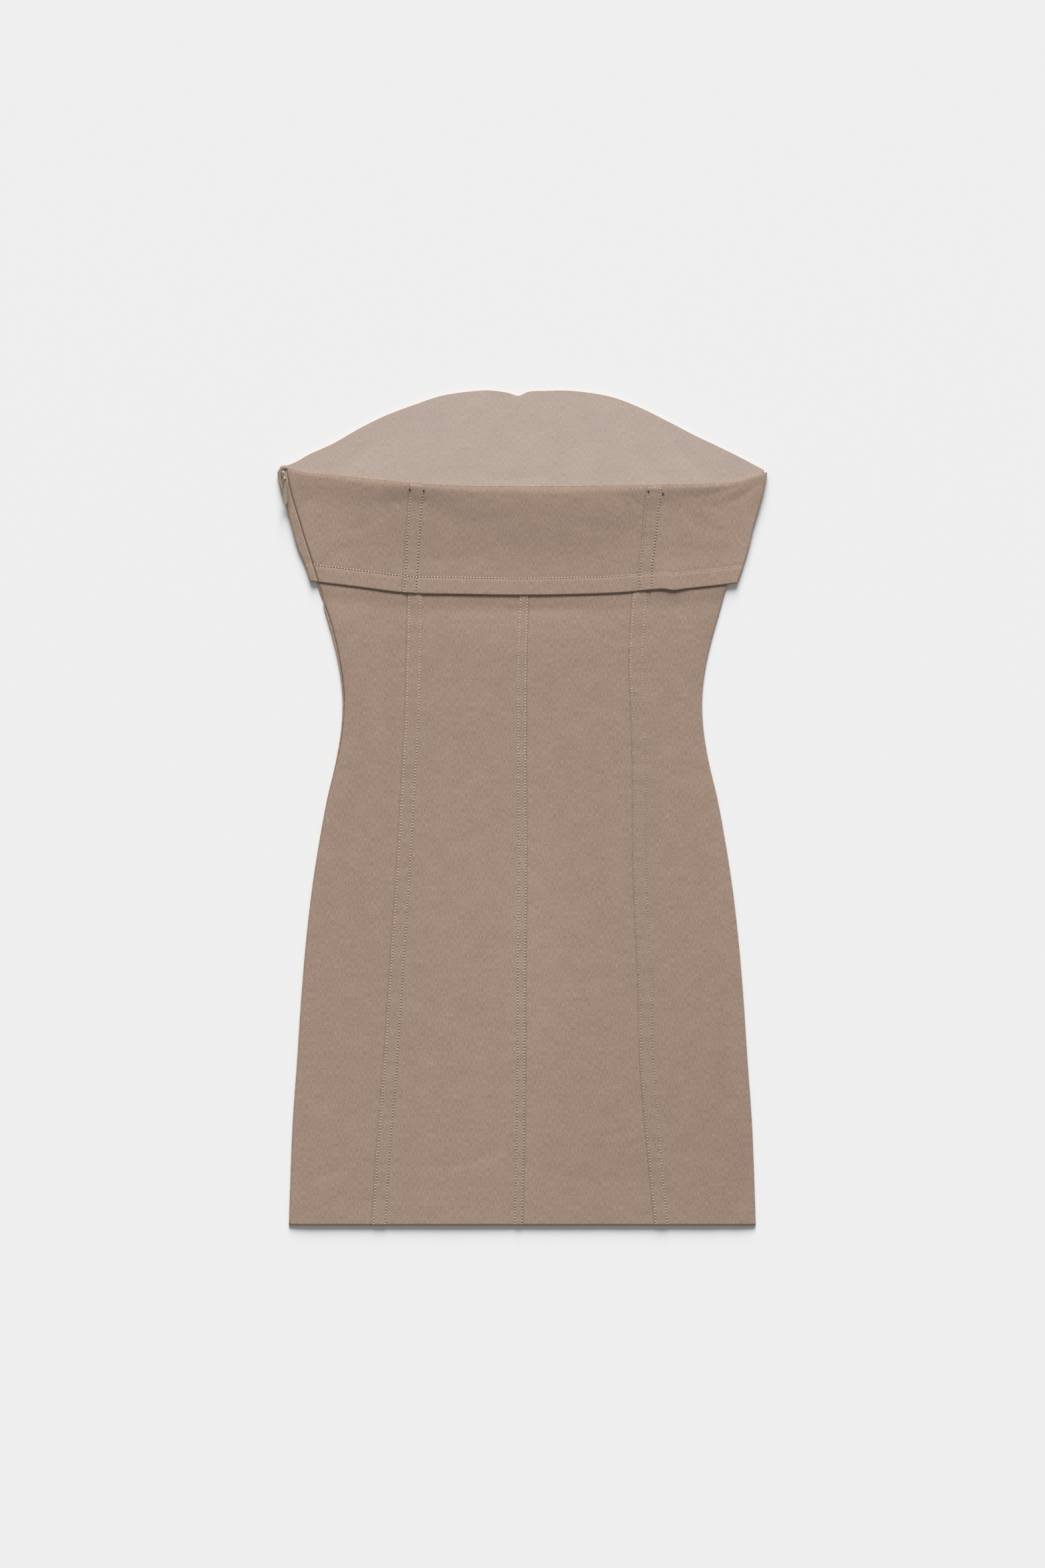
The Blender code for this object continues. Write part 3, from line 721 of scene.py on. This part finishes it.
def roundSlider(x, y):
    # the cloth gives way round the slider and laps a little over its sides
    wide = (x - opening["x"]) / opening["wide"]
    long = (y - opening["y"]) / opening["long"]
    return opening["deep"] * np.exp(-((wide * wide + long * long) ** 3))


def wrapColumns(outerX, seam, topZ, steps, thick):
    # columns that come from a seam on top, round a side edge and down to the floor
    def radius(y):
        return (topZ(y) - thick) / 2

    def stub(p):
        def place(y):
            x = seam(y) + (outerX(y) + topZ(y) / 2 - seam(y)) * p
            return x, topZ(y) - thick / 2 - intoSeam(x - seam(y)) - roundSlider(x, y)
        return place

    columns = [stub(p) for p in wrapParts]
    for angle in np.linspace(0, math.pi, steps + 1):
        out = max(math.sin(angle), 0.0) ** lay["edgeSquare"]
        up = math.copysign(abs(math.cos(angle)) ** lay["edgeSquare"], math.cos(angle))
        columns.append(lambda y, out=out, up=up: (
            outerX(y) + topZ(y) / 2 - radius(y) * out, topZ(y) / 2 + radius(y) * up,
        ))
    return columns


def latticeOfColumns(columns, rowY, along):
    # each column gives x and z for a height y
    out = []
    for column in columns:
        y = np.full(len(along), 200.0)
        for _ in range(10):
            x = column(y)[0]
            y = rowY(along, x)
        x, z = column(y)
        out.append(np.stack(np.broadcast_arrays(x, y, z), axis=1))
    return np.array(out, dtype=float)


makeBack()
print("back panels made")


# Front panels: they lie on the floor and on the band folded under them
front = {"wrapSteps": 10, "edgeInset": 1.9}


# no painted light or shade on this piece
def noPaintedShading(x, y):
    return 0 * x


def frontTop(x):
    return topEdge(x) - 2.6


def sideTop(y):
    x = zipX(y)
    return backUnder(x + 0.5, y) + lay["cloth"]


def makeFront():
    half = panel["seam"] / 2
    left, right = (lambda y, k=k: seamX(k, y) for k in ("left", "right"))
    along = np.linspace(0, 1, 240)

    def rowY(v, x):
        return hemY + (frontTop(x) - hemY) * v

    def frontZ(x, y):
        groove = 0.3 * (bump(x, left(y), 0.9) + bump(x, right(y), 0.9))
        return frontUnder(x, y) + lay["cloth"] / 2 + groove

    def onFloor(lowX, highX, count):
        return [
            (lambda y, p=p: (
                lowX(y) + (highX(y) - lowX(y)) * p,
                frontZ(lowX(y) + (highX(y) - lowX(y)) * p, y),
            ))
            for p in np.linspace(0, 1, count)
        ]

    # the left side comes round the edge to the zip seam, and lies flat inside the band
    wrap = wrapColumns(
        lambda y: -halfWidth(y), lambda y: zipX(y) - half, sideTop, front["wrapSteps"],
        lay["cloth"],
    )

    def blended(column, k):
        def place(y):
            x, z = column(y)
            inBand = ramp(y, bandY - 22, bandY - 6)
            flatX = -halfWidth(y) + 0.25 * k
            flatZ = frontZ(flatX, y)
            return x + (flatX - x) * inBand, z + (flatZ - z) * inBand
        return place

    total = len(wrap)
    sideLeft = [blended(c, k) for k, c in enumerate(wrap)]
    sideLeft += onFloor(lambda y: -halfWidth(y) + 0.25 * total + 1.2, lambda y: left(y) - half, 24)
    centre = onFloor(lambda y: left(y) + half, lambda y: right(y) - half, 48)
    sideRight = onFloor(
        lambda y: right(y) + half, lambda y: halfWidth(y) - front["edgeInset"], 24
    )
    parts = {
        "frontSideLeft": ("front_side_left", sideLeft, (0.125, 0.76)),
        "frontCentre": ("front_centre", centre, (0.27, 0.79)),
        "frontSideRight": ("front_side_right", sideRight, (0.125, 0.76)),
    }
    for name, (node, columns, flat) in parts.items():
        mid = latticeOfColumns(columns, rowY, along)
        piece = clothShell(name, mid, mid[..., :2], noPaintedShading)
        piece.data.materials.append(shell)
        declare(piece, node)


makeFront()
print("front panels made")


# Facing: the lighter inner cloth of the front, with two lobes at its top
facingShape = {"inset": 0.1, "count": 230, "rows": 70}
# soft spots of painted shade at the lobes' sides and faint painted light along the top
facingPaintedShading = table(
    "x y wide long light",
    (-195, 325, 30, 20, -0.03), (200, 318, 30, 20, -0.03), (0, 380, 200, 14, 0.01),
)
facingCreases = table(
    "x y turn long wide deep",
    (-150, 330, 50, 26, 7, 0.22), (150, 328, -48, 26, 7, 0.22), (-20, 330, 88, 24, 6, 0.18),
    (14, 336, 92, 30, 7, 0.16), (-70, 340, 80, 30, 9, 0.16), (64, 338, 100, 30, 9, 0.16),
    (2, 306, 5, 30, 5, 0.2), (-110, 322, 62, 22, 7, 0.14), (112, 322, -62, 22, 7, 0.14),
)


def facingMid(x, y):
    soft = 0.14 * unevenness(x, y, 14, 60) + 0.05 * unevenness(x, y, 15, 20)
    base = frontUnder(x, y) + lay["cloth"] * 1.5 + lay["gap"]
    return base + soft - creased(facingCreases, x, y)


def makeFacing():
    across = np.linspace(0, 1, facingShape["count"])
    along = 1 - np.linspace(1, 0, facingShape["rows"]) ** 1.5

    def columnX(u, y):
        half = halfWidth(y)
        return -half + 2 * half * u

    def rowY(v, x):
        start = facingStart(x)
        return start + (topEdge(x) - facingShape["inset"] - start) * v

    x, y = latticeOf(columnX, rowY, across, along)
    mid = stacked(x, y, facingMid(x, y))
    piece = clothShell(
        "frontFacing", mid, mid[..., :2], lambda x, y: paintedShadingSpots(facingPaintedShading, x, y)
    )
    piece.data.materials.append(facing)
    declare(piece, "front_facing")


makeFacing()
print("facing made")


# Band: three sections over the back
# soft spots of painted light and shade: darker across the middle and near the fold, lighter at the
# band's ends
bandPaintedShading = table(
    "x y wide long light",
    (-20, 258, 200, 60, -0.035), (-100, 290, 40, 12, -0.08), (206, 250, 24, 60, 0.11),
    (-186, 258, 34, 34, 0.1), (150, 250, 50, 44, 0.04), (130, 294, 70, 8, -0.06),
)


# painted light and shade on the band, with painted shade along its fold
def bandPaintedShadingAndFold(x, y):
    # painted shade along the very fold
    return paintedShadingSpots(bandPaintedShading, x, y) - band["foldPaintedShade"] * bump(y, foldY(x) - 0.2, 1.0)


def makeBackBand():
    half = panel["seam"] / 2
    left, right = (lambda y, k=k: bandSeamX(k, y) for k in ("left", "right"))
    crownRows = 1 - 0.07 * np.linspace(1, 0, 18) ** 1.6
    flatRows = np.concatenate(
        [np.linspace(0, 0.05, 5)[:-1], np.linspace(0.05, 0.93, 62)[:-1], crownRows]
    )
    angles = np.linspace(math.pi / 2, -math.pi / 2, 17)[1:]
    turnOut = band["foldRadius"] * np.cos(angles) ** band["foldSquare"]
    turnUp = band["foldRadius"] * np.sign(np.sin(angles)) * np.abs(np.sin(angles)) ** band["foldSquare"]
    rows = np.concatenate([flatRows, 1 + np.arange(1, len(angles) + 2)])

    def rowY(v, x):
        centre = foldCentre(x)
        flat = freeY(x) + (centre - freeY(x)) * np.minimum(v, 1.0)
        k = np.clip(np.round(v - 2).astype(int), 0, len(angles) - 1)
        turned = centre + turnOut[k]
        tucked = centre - band["tuck"]
        return np.where(v <= 1.0, flat, np.where(v - 2 < len(angles) - 0.5, turned, tucked))

    sections = {
        "bandBackLeft": ("band_back_left", zipX, left, 105.0, (5.0, 14.0), (0.12, 0.16)),
        "bandBackCentre": ("band_back_centre", left, right, 220.0, (17.0, 14.0), (0.235, 0.16)),
        "bandBackRight": (
            "band_back_right", right, lambda y: bandEdgeX("right", y), 104.0, (17.0, 6.0),
            (0.125, 0.16),
        ),
    }
    for name, (node, low, high, width, fine, flat) in sections.items():
        lowX = lambda y, low=low: low(y) + half
        highX = lambda y, high=high: high(y) - half
        x, y = panelLattice(lowX, highX, width, fine, rowY, rows)
        z = bandMid(x, y)
        first = len(flatRows)
        seat = backUnder(x[:, first:], foldCentre(x[:, first:])) + lay["cloth"] / 2
        z[:, first:] = seat + band["foldRadius"] + np.append(turnUp, -band["foldRadius"])
        if name == "bandBackRight":
            x, y, z = turnedDown(x, y, z, 0.9, 6, 0.9)
        mid = stacked(x, y, z)
        run = np.linalg.norm(np.diff(mid, axis=1), axis=2)
        run = np.concatenate([np.zeros((len(mid), 1)), np.cumsum(run, axis=1)], axis=1)
        piece = clothShell(name, mid, np.stack([x, run], axis=2), bandPaintedShadingAndFold)
        piece.data.materials.append(shell)
        declare(piece, node)


makeBackBand()
print("back of the band made")


# Band: one piece over the front, round the left edge, up the right edge and over the facing
def bandWrapTop(y):
    x = zipX(y)
    return bandUnder(x, y) + lay["cloth"]


def makeFrontBand():
    half = panel["seam"] / 2
    left, right = (lambda y, k=k: bandEdgeX(k, y) for k in ("left", "right"))
    thick = lay["shown"]
    columns = wrapColumns(left, lambda y: zipX(y) - half - 0.3, bandWrapTop, 14, lay["cloth"])
    turn = 1.4
    startX = lambda y: left(y) + bandWrapTop(y) / 2 + 1.5
    for p in np.linspace(0, 1, 190):
        columns.append(lambda y, p=p: (
            startX(y) + (right(y) - turn - startX(y)) * p, lay["cloth"] / 2 + 0 * y
        ))
    for angle in np.linspace(0, math.pi / 2, 5)[1:]:
        columns.append(lambda y, a=angle: (
            right(y) - turn + (turn - thick / 2) * math.sin(a),
            turn + 0.05 - (turn - thick / 2) * math.cos(a) + 0 * y,
        ))

    def wallTop(y):
        return 2.2 - 0.8 * ramp(y, foldCentre(right(y)) - 12, foldCentre(right(y)) - 4)

    columns.append(lambda y: (right(y) - thick / 2, wallTop(y)))
    rimR = band["rimRadius"]

    def rowY(v, x):
        return freeY(x) + (topEdge(x) - band["rimInset"] - rimR - thick / 2 - freeY(x)) * v

    along = np.concatenate(
        [np.linspace(0, 0.12, 12)[:-1], np.linspace(0.12, 0.84, 34)[:-1], np.linspace(0.84, 1, 34)]
    )
    base = latticeOfColumns(columns, rowY, along)
    # the rim: each column goes on, up and over, square to the curved top edge
    edge = base[:, -1]
    slope = (topEdge(edge[:, 0] + 3) - topEdge(edge[:, 0] - 3)) / 6
    out = np.stack([-slope, np.ones_like(slope), 0 * slope], axis=1)
    out /= np.linalg.norm(out, axis=1, keepdims=True)
    share = ramp(edge[:, 0], -222, -200) * (1 - ramp(edge[:, 0], 214, 224))
    rolled = []
    for step in np.linspace(0, 1, 11)[1:]:
        angle = (0.12 + 0.88 * share) * math.pi * step
        ahead = rimR * np.sin(angle)[:, None] * out
        ahead[:, 2] += rimR * (1 - np.cos(angle))
        rolled.append(edge + ahead)
    mid = np.concatenate([base, np.stack(rolled, axis=1)], axis=1)
    across = np.linalg.norm(np.diff(mid, axis=0), axis=2)
    across = np.concatenate([np.zeros((1, mid.shape[1])), np.cumsum(across, axis=0)])
    row = mid[..., 1] - freeY(mid[..., 0]) - band["hemDepth"]
    upper = np.zeros(len(mid))
    upper[: len(wrapParts) + 3] = 1
    mid[..., 2] += upper[:, None] * hemRelief(row)
    uv = np.stack([across, mid[..., 1]], axis=2)
    piece = clothShell("bandFront", mid, uv, noPaintedShading)
    piece.data.materials.append(shell)
    declare(piece, "band_front")


makeFrontBand()
print("front of the band made")


# Stitches, laid along the sewing lines by Geometry Nodes
sewing = {
    "pitch": 2.8, "length": 1.6, "width": 0.9, "height": 0.42, "lift": 0.1,
    "holeLength": 1.35, "holeWidth": 1.2, "holeHeight": 0.36, "bodyHole": 0.8,
}


def sewingLine(name, lines):
    # one curve object with a spline for each line of points, in millimetres
    curve = bpy.data.curves.new(name, "CURVE")
    curve.dimensions = "3D"
    for points in lines:
        spline = curve.splines.new("POLY")
        spline.points.add(len(points) - 1)
        flat = np.concatenate([np.asarray(points) * mm, np.ones((len(points), 1))], axis=1)
        spline.points.foreach_set("co", flat.ravel())
    piece = bpy.data.objects.new(name, curve)
    bpy.context.scene.collection.objects.link(piece)
    return piece


def stitchTree(name):
    tree = bpy.data.node_groups.new(name, "GeometryNodeTree")
    face = tree.interface
    face.new_socket("Geometry", in_out="INPUT", socket_type="NodeSocketGeometry")
    for label in ("Pitch", "Length", "Width", "Height", "Start"):
        face.new_socket(label, in_out="INPUT", socket_type="NodeSocketFloat")
    face.new_socket("Seed", in_out="INPUT", socket_type="NodeSocketInt")
    face.new_socket("Material", in_out="INPUT", socket_type="NodeSocketMaterial")
    face.new_socket("Geometry", in_out="OUTPUT", socket_type="NodeSocketGeometry")
    given = addNode(tree, "NodeGroupInput").outputs
    # Start cuts a little off each line, so that the painted shade of the holes falls between the
    # stitches
    trimmed = addNode(
        tree, "GeometryNodeTrimCurve",
        {"Curve": given["Geometry"]}, mode="LENGTH",
    )
    tree.links.new(given["Start"], trimmed.inputs[4])
    trimmed.inputs[5].default_value = 100.0
    even = addNode(
        tree, "GeometryNodeResampleCurve",
        {"Curve": trimmed.outputs["Curve"], "Length": given["Pitch"]}, mode="LENGTH",
    )
    dots = addNode(
        tree, "GeometryNodeCurveToPoints", {"Curve": even.outputs["Curve"]}, mode="EVALUATED"
    )
    grain = addNode(tree, "GeometryNodeMeshUVSphere", {"Segments": 7, "Rings": 5, "Radius": 0.5})
    wobble = addNode(
        tree, "FunctionNodeRandomValue",
        {"Seed": given["Seed"]}, data_type="FLOAT",
    )
    wobble.inputs[2].default_value = 0.82
    wobble.inputs[3].default_value = 1.15
    long = addNode(
        tree, "ShaderNodeMath", {0: given["Length"], 1: wobble.outputs[1]}, operation="MULTIPLY"
    )
    size = addNode(
        tree, "ShaderNodeCombineXYZ",
        {"X": long.outputs[0], "Y": given["Width"], "Z": given["Height"]},
    )
    turned = addNode(
        tree, "FunctionNodeAlignRotationToVector",
        {"Vector": dots.outputs["Tangent"]}, axis="X",
    )
    placed = addNode(
        tree, "GeometryNodeInstanceOnPoints",
        {
            "Points": dots.outputs["Points"], "Instance": grain.outputs["Mesh"],
            "Rotation": turned.outputs["Rotation"], "Scale": size.outputs["Vector"],
        },
    )
    real = addNode(
        tree, "GeometryNodeRealizeInstances", {"Geometry": placed.outputs["Instances"]}
    )
    done = addNode(
        tree, "GeometryNodeSetMaterial",
        {"Geometry": real.outputs["Geometry"], "Material": given["Material"]},
    )
    end = addNode(tree, "NodeGroupOutput")
    tree.links.new(done.outputs["Geometry"], end.inputs["Geometry"])
    return tree


def sewn(name, lines, sizes, material, seed):
    # runs the stitch tree along the lines and keeps the result as a plain mesh
    source = sewingLine(name + "Line", lines)
    modifier = source.modifiers.new("stitches", "NODES")
    modifier.node_group = stitches
    sockets = {s.name: s.identifier for s in stitches.interface.items_tree if s.in_out == "INPUT"}
    for label, value in sizes.items():
        modifier[sockets[label]] = float(value) * mm
    modifier[sockets["Seed"]] = seed
    modifier[sockets["Material"]] = material
    bpy.context.view_layer.update()
    graph = bpy.context.evaluated_depsgraph_get()
    mesh = bpy.data.meshes.new_from_object(source.evaluated_get(graph), depsgraph=graph)
    mesh.name = name
    mesh.materials.clear()
    mesh.materials.append(material)
    mesh.shade_smooth()
    bpy.data.objects.remove(source, do_unlink=True)
    piece = bpy.data.objects.new(name, mesh)
    bpy.context.scene.collection.objects.link(piece)
    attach(piece, "dress")
    return piece


def bodyLine(which, offset, top=200.0):
    y = np.arange(hemY + 1.5, top, 2.0)
    x = seamX(which, y) + offset + 0.18 * wander(y, int(abs(offset) * 10) + 3)
    show = y < freeY(x) - 1.0
    x, y = x[show], y[show]
    return np.stack([x, y, backMid(x, y) + onTop], axis=1)


def bandLine(which, offset):
    x = bandSeamX(which, 250.0) + offset
    y = np.arange(freeY(x) + 1.2, foldCentre(x) + 0.5, 1.5)
    x = bandSeamX(which, y) + offset + 0.15 * wander(y, int(offset * 10) + 7)
    return np.stack([x, y, bandMid(x, y) + onTop], axis=1)


def bandHemLine(start, end):
    x = np.arange(start, end, 2.0)
    y = freeY(x) + band["hemDepth"] + 0.12 * wander(x, 101)
    return np.stack([x, y, bandMid(x, y) + onTop], axis=1)


def tack(x, y):
    # a short dense bar where the rows meet the fold, drawn dark: a real tack, its dark colour painted
    # shade of the puckers round it
    y = np.linspace(y - 0.7, y + 0.7, 3)
    x = x + 0 * y
    return np.stack([x, y, bandMid(x, y) + onTop], axis=1)


stitches = stitchTree("stitchRow")
onTop = lay["shown"] / 2 + sewing["lift"]
tacks = [tack(x, y) for x, y in ((-104.0, 295.8), (-91.7, 294.8), (117.4, 294.0), (130.8, 292.0))]
nearRow, farRow = strips["nearRow"], strips["width"]
bodyRows = [bodyLine(which, d) for which in ("left", "right") for d in (nearRow, farRow)]
bodyRows += [bodyLine("centre", -1.5), bodyLine("centre", -strips["centreWidth"])]
bandRows = [bandLine(which, d) for which in ("left", "right") for d in (nearRow, farRow)]
hemRows = [bandHemLine(-193.0, 203.0)]
stitch = {key: sewing[key] for key in ("pitch", "length", "width", "height")}
stitchSizes = {key.title(): value for key, value in stitch.items()}
holeSizes = {
    "Pitch": sewing["pitch"], "Start": sewing["pitch"] / 2, "Length": sewing["holeLength"],
    "Width": sewing["holeWidth"], "Height": sewing["holeHeight"],
}
sewn("bodyStitches", bodyRows, stitchSizes, lightThread, 3)
sewn("bandStitches", bandRows + hemRows, stitchSizes, lightThread, 5)
bodyHoleSizes = {
    **holeSizes,
    "Length": sewing["holeLength"] * sewing["bodyHole"],
    "Width": sewing["holeWidth"] * sewing["bodyHole"],
}
# dark dots between the stitches: painted shade of the needle holes
sewn("bodyNeedleHoleShade", bodyRows, bodyHoleSizes, paintedShadeMaterial, 7)
sewn("bandNeedleHoleShade", bandRows + hemRows, holeSizes, paintedShadeMaterial, 9)
tackSizes = {"Pitch": 0.7, "Length": 1.6, "Width": 2.2, "Height": 0.7}
# the tacks take the dark colour: painted shade round a real tack
sewn("backTacks", tacks, tackSizes, paintedShadeMaterial, 11)
print("sewing done")


# Zip slider and its pull
slider = {
    "x": -221.0, "y": 309.0, "low": 4.0, "high": 7.8, "wide": 4.2, "long": 8.8, "taper": 0.16,
    "square": 0.62, "round": 0.6, "turn": 14.0, "bridgeX": -220.2, "bridgeY": 305.6,
    "bridgeZ": 9.0, "bridgeRadius": 1.2, "bridgeWide": 0.75, "bridgeThick": 0.36,
}
pull = {
    "x": -220.2, "y": 305.6, "z": 9.0, "tilt": 4.4, "length": 24.0, "thick": 0.5, "lean": 0.9,
    "ringHalf": 1.75, "ringLong": 1.55, "ringAt": 1.15, "ringTube": 0.42, "rim": 0.34,
}
pullShape = table(
    "s half",
    (2.2, 0.9), (4.0, 0.95), (8.0, 1.4), (13.0, 1.95), (17.0, 2.25), (20.5, 2.2), (22.6, 1.6),
    (23.6, 0.85), (24.0, 0.2),
)


def tube(rings):
    # a closed skin over rings of points, with a fan over each end
    count, around = len(rings), len(rings[0])
    points = np.concatenate([np.concatenate(rings), [rings[0].mean(axis=0), rings[-1].mean(axis=0)]])
    faces = []
    for i in range(count - 1):
        for j in range(around):
            k = (j + 1) % around
            faces.append([i * around + j, i * around + k, (i + 1) * around + k, (i + 1) * around + j])
    last = (count - 1) * around
    for j in range(around):
        k = (j + 1) % around
        faces.append([count * around, k, j])
        faces.append([count * around + 1, last + j, last + k])
    return points, faces


def loop(line, up, wide, thick, around=12):
    # a closed bar bent along a closed line of points, wide along up
    ahead = np.roll(line, -1, axis=0) - np.roll(line, 1, axis=0)
    ahead /= np.linalg.norm(ahead, axis=1, keepdims=True)
    side = np.cross(ahead, up)
    angles = np.linspace(0, 2 * math.pi, around, endpoint=False)
    rings = [line + thick * math.cos(a) * side + wide * math.sin(a) * up for a in angles]
    points = np.stack(rings, axis=1).reshape(-1, 3)
    faces = []
    for i in range(len(line)):
        for j in range(around):
            m, n = (i + 1) % len(line), (j + 1) % around
            faces.append([i * around + j, m * around + j, m * around + n, i * around + n])
    return points, faces


def joinedParts(parts):
    points, faces, start = [], [], 0
    for partPoints, partFaces in parts:
        points.append(partPoints)
        faces += [[start + k for k in face] for face in partFaces]
        start += len(partPoints)
    return np.concatenate(points), faces


def roundedPlate(x, y, low, high, wide, long):
    # a lozenge with rounded edges, a little narrower towards the hem
    lean = math.radians(slider["turn"])
    angles = np.linspace(0, 2 * math.pi, 48, endpoint=False)
    c = np.sign(np.cos(angles)) * np.abs(np.cos(angles)) ** slider["square"]
    s = np.sign(np.sin(angles)) * np.abs(np.sin(angles)) ** slider["square"]
    rings = []
    for turn in np.linspace(-math.pi / 2, math.pi / 2, 9):
        inset = slider["round"] * (1 - math.cos(turn))
        z = (low + high) / 2 + ((high - low) / 2) * math.sin(turn)
        alongX = c * (wide / 2 - inset) * (1 - slider["taper"] * (1 - s))
        alongY = y - slider["y"] + s * (long / 2 - inset)
        cosTurn, sinTurn = math.cos(lean), math.sin(lean)
        rings.append(np.stack([
            x + alongX * cosTurn - alongY * sinTurn,
            slider["y"] + alongX * sinTurn + alongY * cosTurn, z + 0 * c,
        ], axis=1))
    return tube(rings)


def makeSlider():
    x, y = slider["x"], slider["y"]
    plate = roundedPlate(x, y, slider["low"], slider["high"], slider["wide"], slider["long"])
    shoulder = roundedPlate(x, y + 2.4, slider["high"] - 0.6, slider["high"] + 0.5, 2.6, 3.2)
    angles = np.linspace(0, 2 * math.pi, 40, endpoint=False)
    arch = np.stack([
        slider["bridgeX"] + 0 * angles,
        slider["bridgeY"] + slider["bridgeRadius"] * np.cos(angles),
        slider["bridgeZ"] + slider["bridgeRadius"] * np.sin(angles) - 0.05,
    ], axis=1)
    bridge = loop(arch, np.array([1.0, 0.0, 0.0]), slider["bridgeWide"], slider["bridgeThick"])
    piece = addMesh("zipSlider", *joinedParts([plate, shoulder, bridge]))
    piece.data.materials.append(metal)
    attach(piece, "dress")
    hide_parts("zip_slider")


def makePull():
    tilt = math.radians(pull["tilt"])
    ahead = np.array([0.0, -math.cos(tilt), -math.sin(tilt)])
    up = np.array([0.0, -math.sin(tilt), math.cos(tilt)])
    start = np.array([pull["x"], pull["y"], pull["z"]])

    def placed(side, s, high):
        lean = pull["lean"] * ramp(s, 0.0, 5.0) * (1 - 0.8 * s / pull["length"])
        return start + np.multiply.outer(side + lean, [1.0, 0.0, 0.0]) + (
            np.multiply.outer(s, ahead) + np.multiply.outer(high, up)
        )

    s = pull["length"] - (pull["length"] - 2.2) * np.linspace(1, 0, 36) ** 1.5
    half = smooth(pullShape["s"], pullShape["half"], s)
    angles = np.linspace(0, 2 * math.pi, 20, endpoint=False)
    c = np.sign(np.cos(angles)) * np.abs(np.cos(angles)) ** 0.75
    h = np.sign(np.sin(angles)) * np.abs(np.sin(angles)) ** 0.6
    rings = [placed(half[k] * c, s[k] + 0 * c, pull["thick"] * h) for k in range(len(s))]
    blade = tube([ring[::-1] for ring in rings])
    turns = np.linspace(0, 2 * math.pi, 32, endpoint=False)
    eye = placed(
        pull["ringHalf"] * np.cos(turns), pull["ringAt"] + pull["ringLong"] * np.sin(turns),
        0 * turns,
    )
    ring = loop(eye, up, pull["ringTube"], pull["ringTube"])
    edge = np.maximum(half - 0.25, 0.05)
    high = 0 * s + pull["thick"] * 0.8
    outline = np.concatenate([placed(edge, s, high), placed(-edge, s, high)[::-1]])
    rim = loop(outline, up, pull["rim"], pull["rim"])
    piece = addMesh("zipPull", *joinedParts([blade, ring, rim]))
    piece.data.materials.append(metal)
    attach(piece, "zip_pull")
    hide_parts("zip_pull")


makeSlider()
makePull()
print("zip done")


# Floor, lights and camera
studio = {
    "floor": "#F0F0F0", "world": 0.28, "sun": 5.65, "sunTilt": 67.0, "sunSize": 32.0,
    "lens": 80.0, "sensor": 36.0, "frameHigh": 1458.0, "middle": (0.3, 22.6),
}


def makeStage():
    size = 6000.0
    floor = addMesh(
        "floor", [(-size, -size, -0.2), (size, -size, -0.2), (size, size, -0.2), (-size, size, -0.2)],
        [[0, 1, 2, 3]],
    )
    floor.data.materials.append(flatColour("paintedFloor", studio["floor"], 0.9))
    world = bpy.data.worlds.new("studio")
    bpy.context.scene.world = world
    world.use_nodes = True
    background = world.node_tree.nodes["Background"]
    background.inputs["Color"].default_value = (1.0, 1.0, 1.0, 1.0)
    background.inputs["Strength"].default_value = studio["world"]
    sun = bpy.data.lights.new("softKey", "SUN")
    sun.energy = studio["sun"]
    sun.angle = math.radians(studio["sunSize"])
    lamp = bpy.data.objects.new("softKey", sun)
    lamp.rotation_euler = (-math.radians(studio["sunTilt"]), 0.0, 0.0)
    bpy.context.scene.collection.objects.link(lamp)
    view = bpy.data.cameras.new("camera")
    view.sensor_fit = "VERTICAL"
    view.sensor_height = studio["sensor"]
    view.lens = studio["lens"]
    camera = bpy.data.objects.new("camera", view)
    distance = studio["frameHigh"] * studio["lens"] / studio["sensor"]
    camera.location = (studio["middle"][0] * mm, studio["middle"][1] * mm, distance * mm)
    view.clip_end = 50.0
    bpy.context.scene.collection.objects.link(camera)
    bpy.context.scene.camera = camera
    bpy.context.scene.view_settings.view_transform = "Standard"


makeStage()
print("stage set")

bpy.context.view_layer.update()
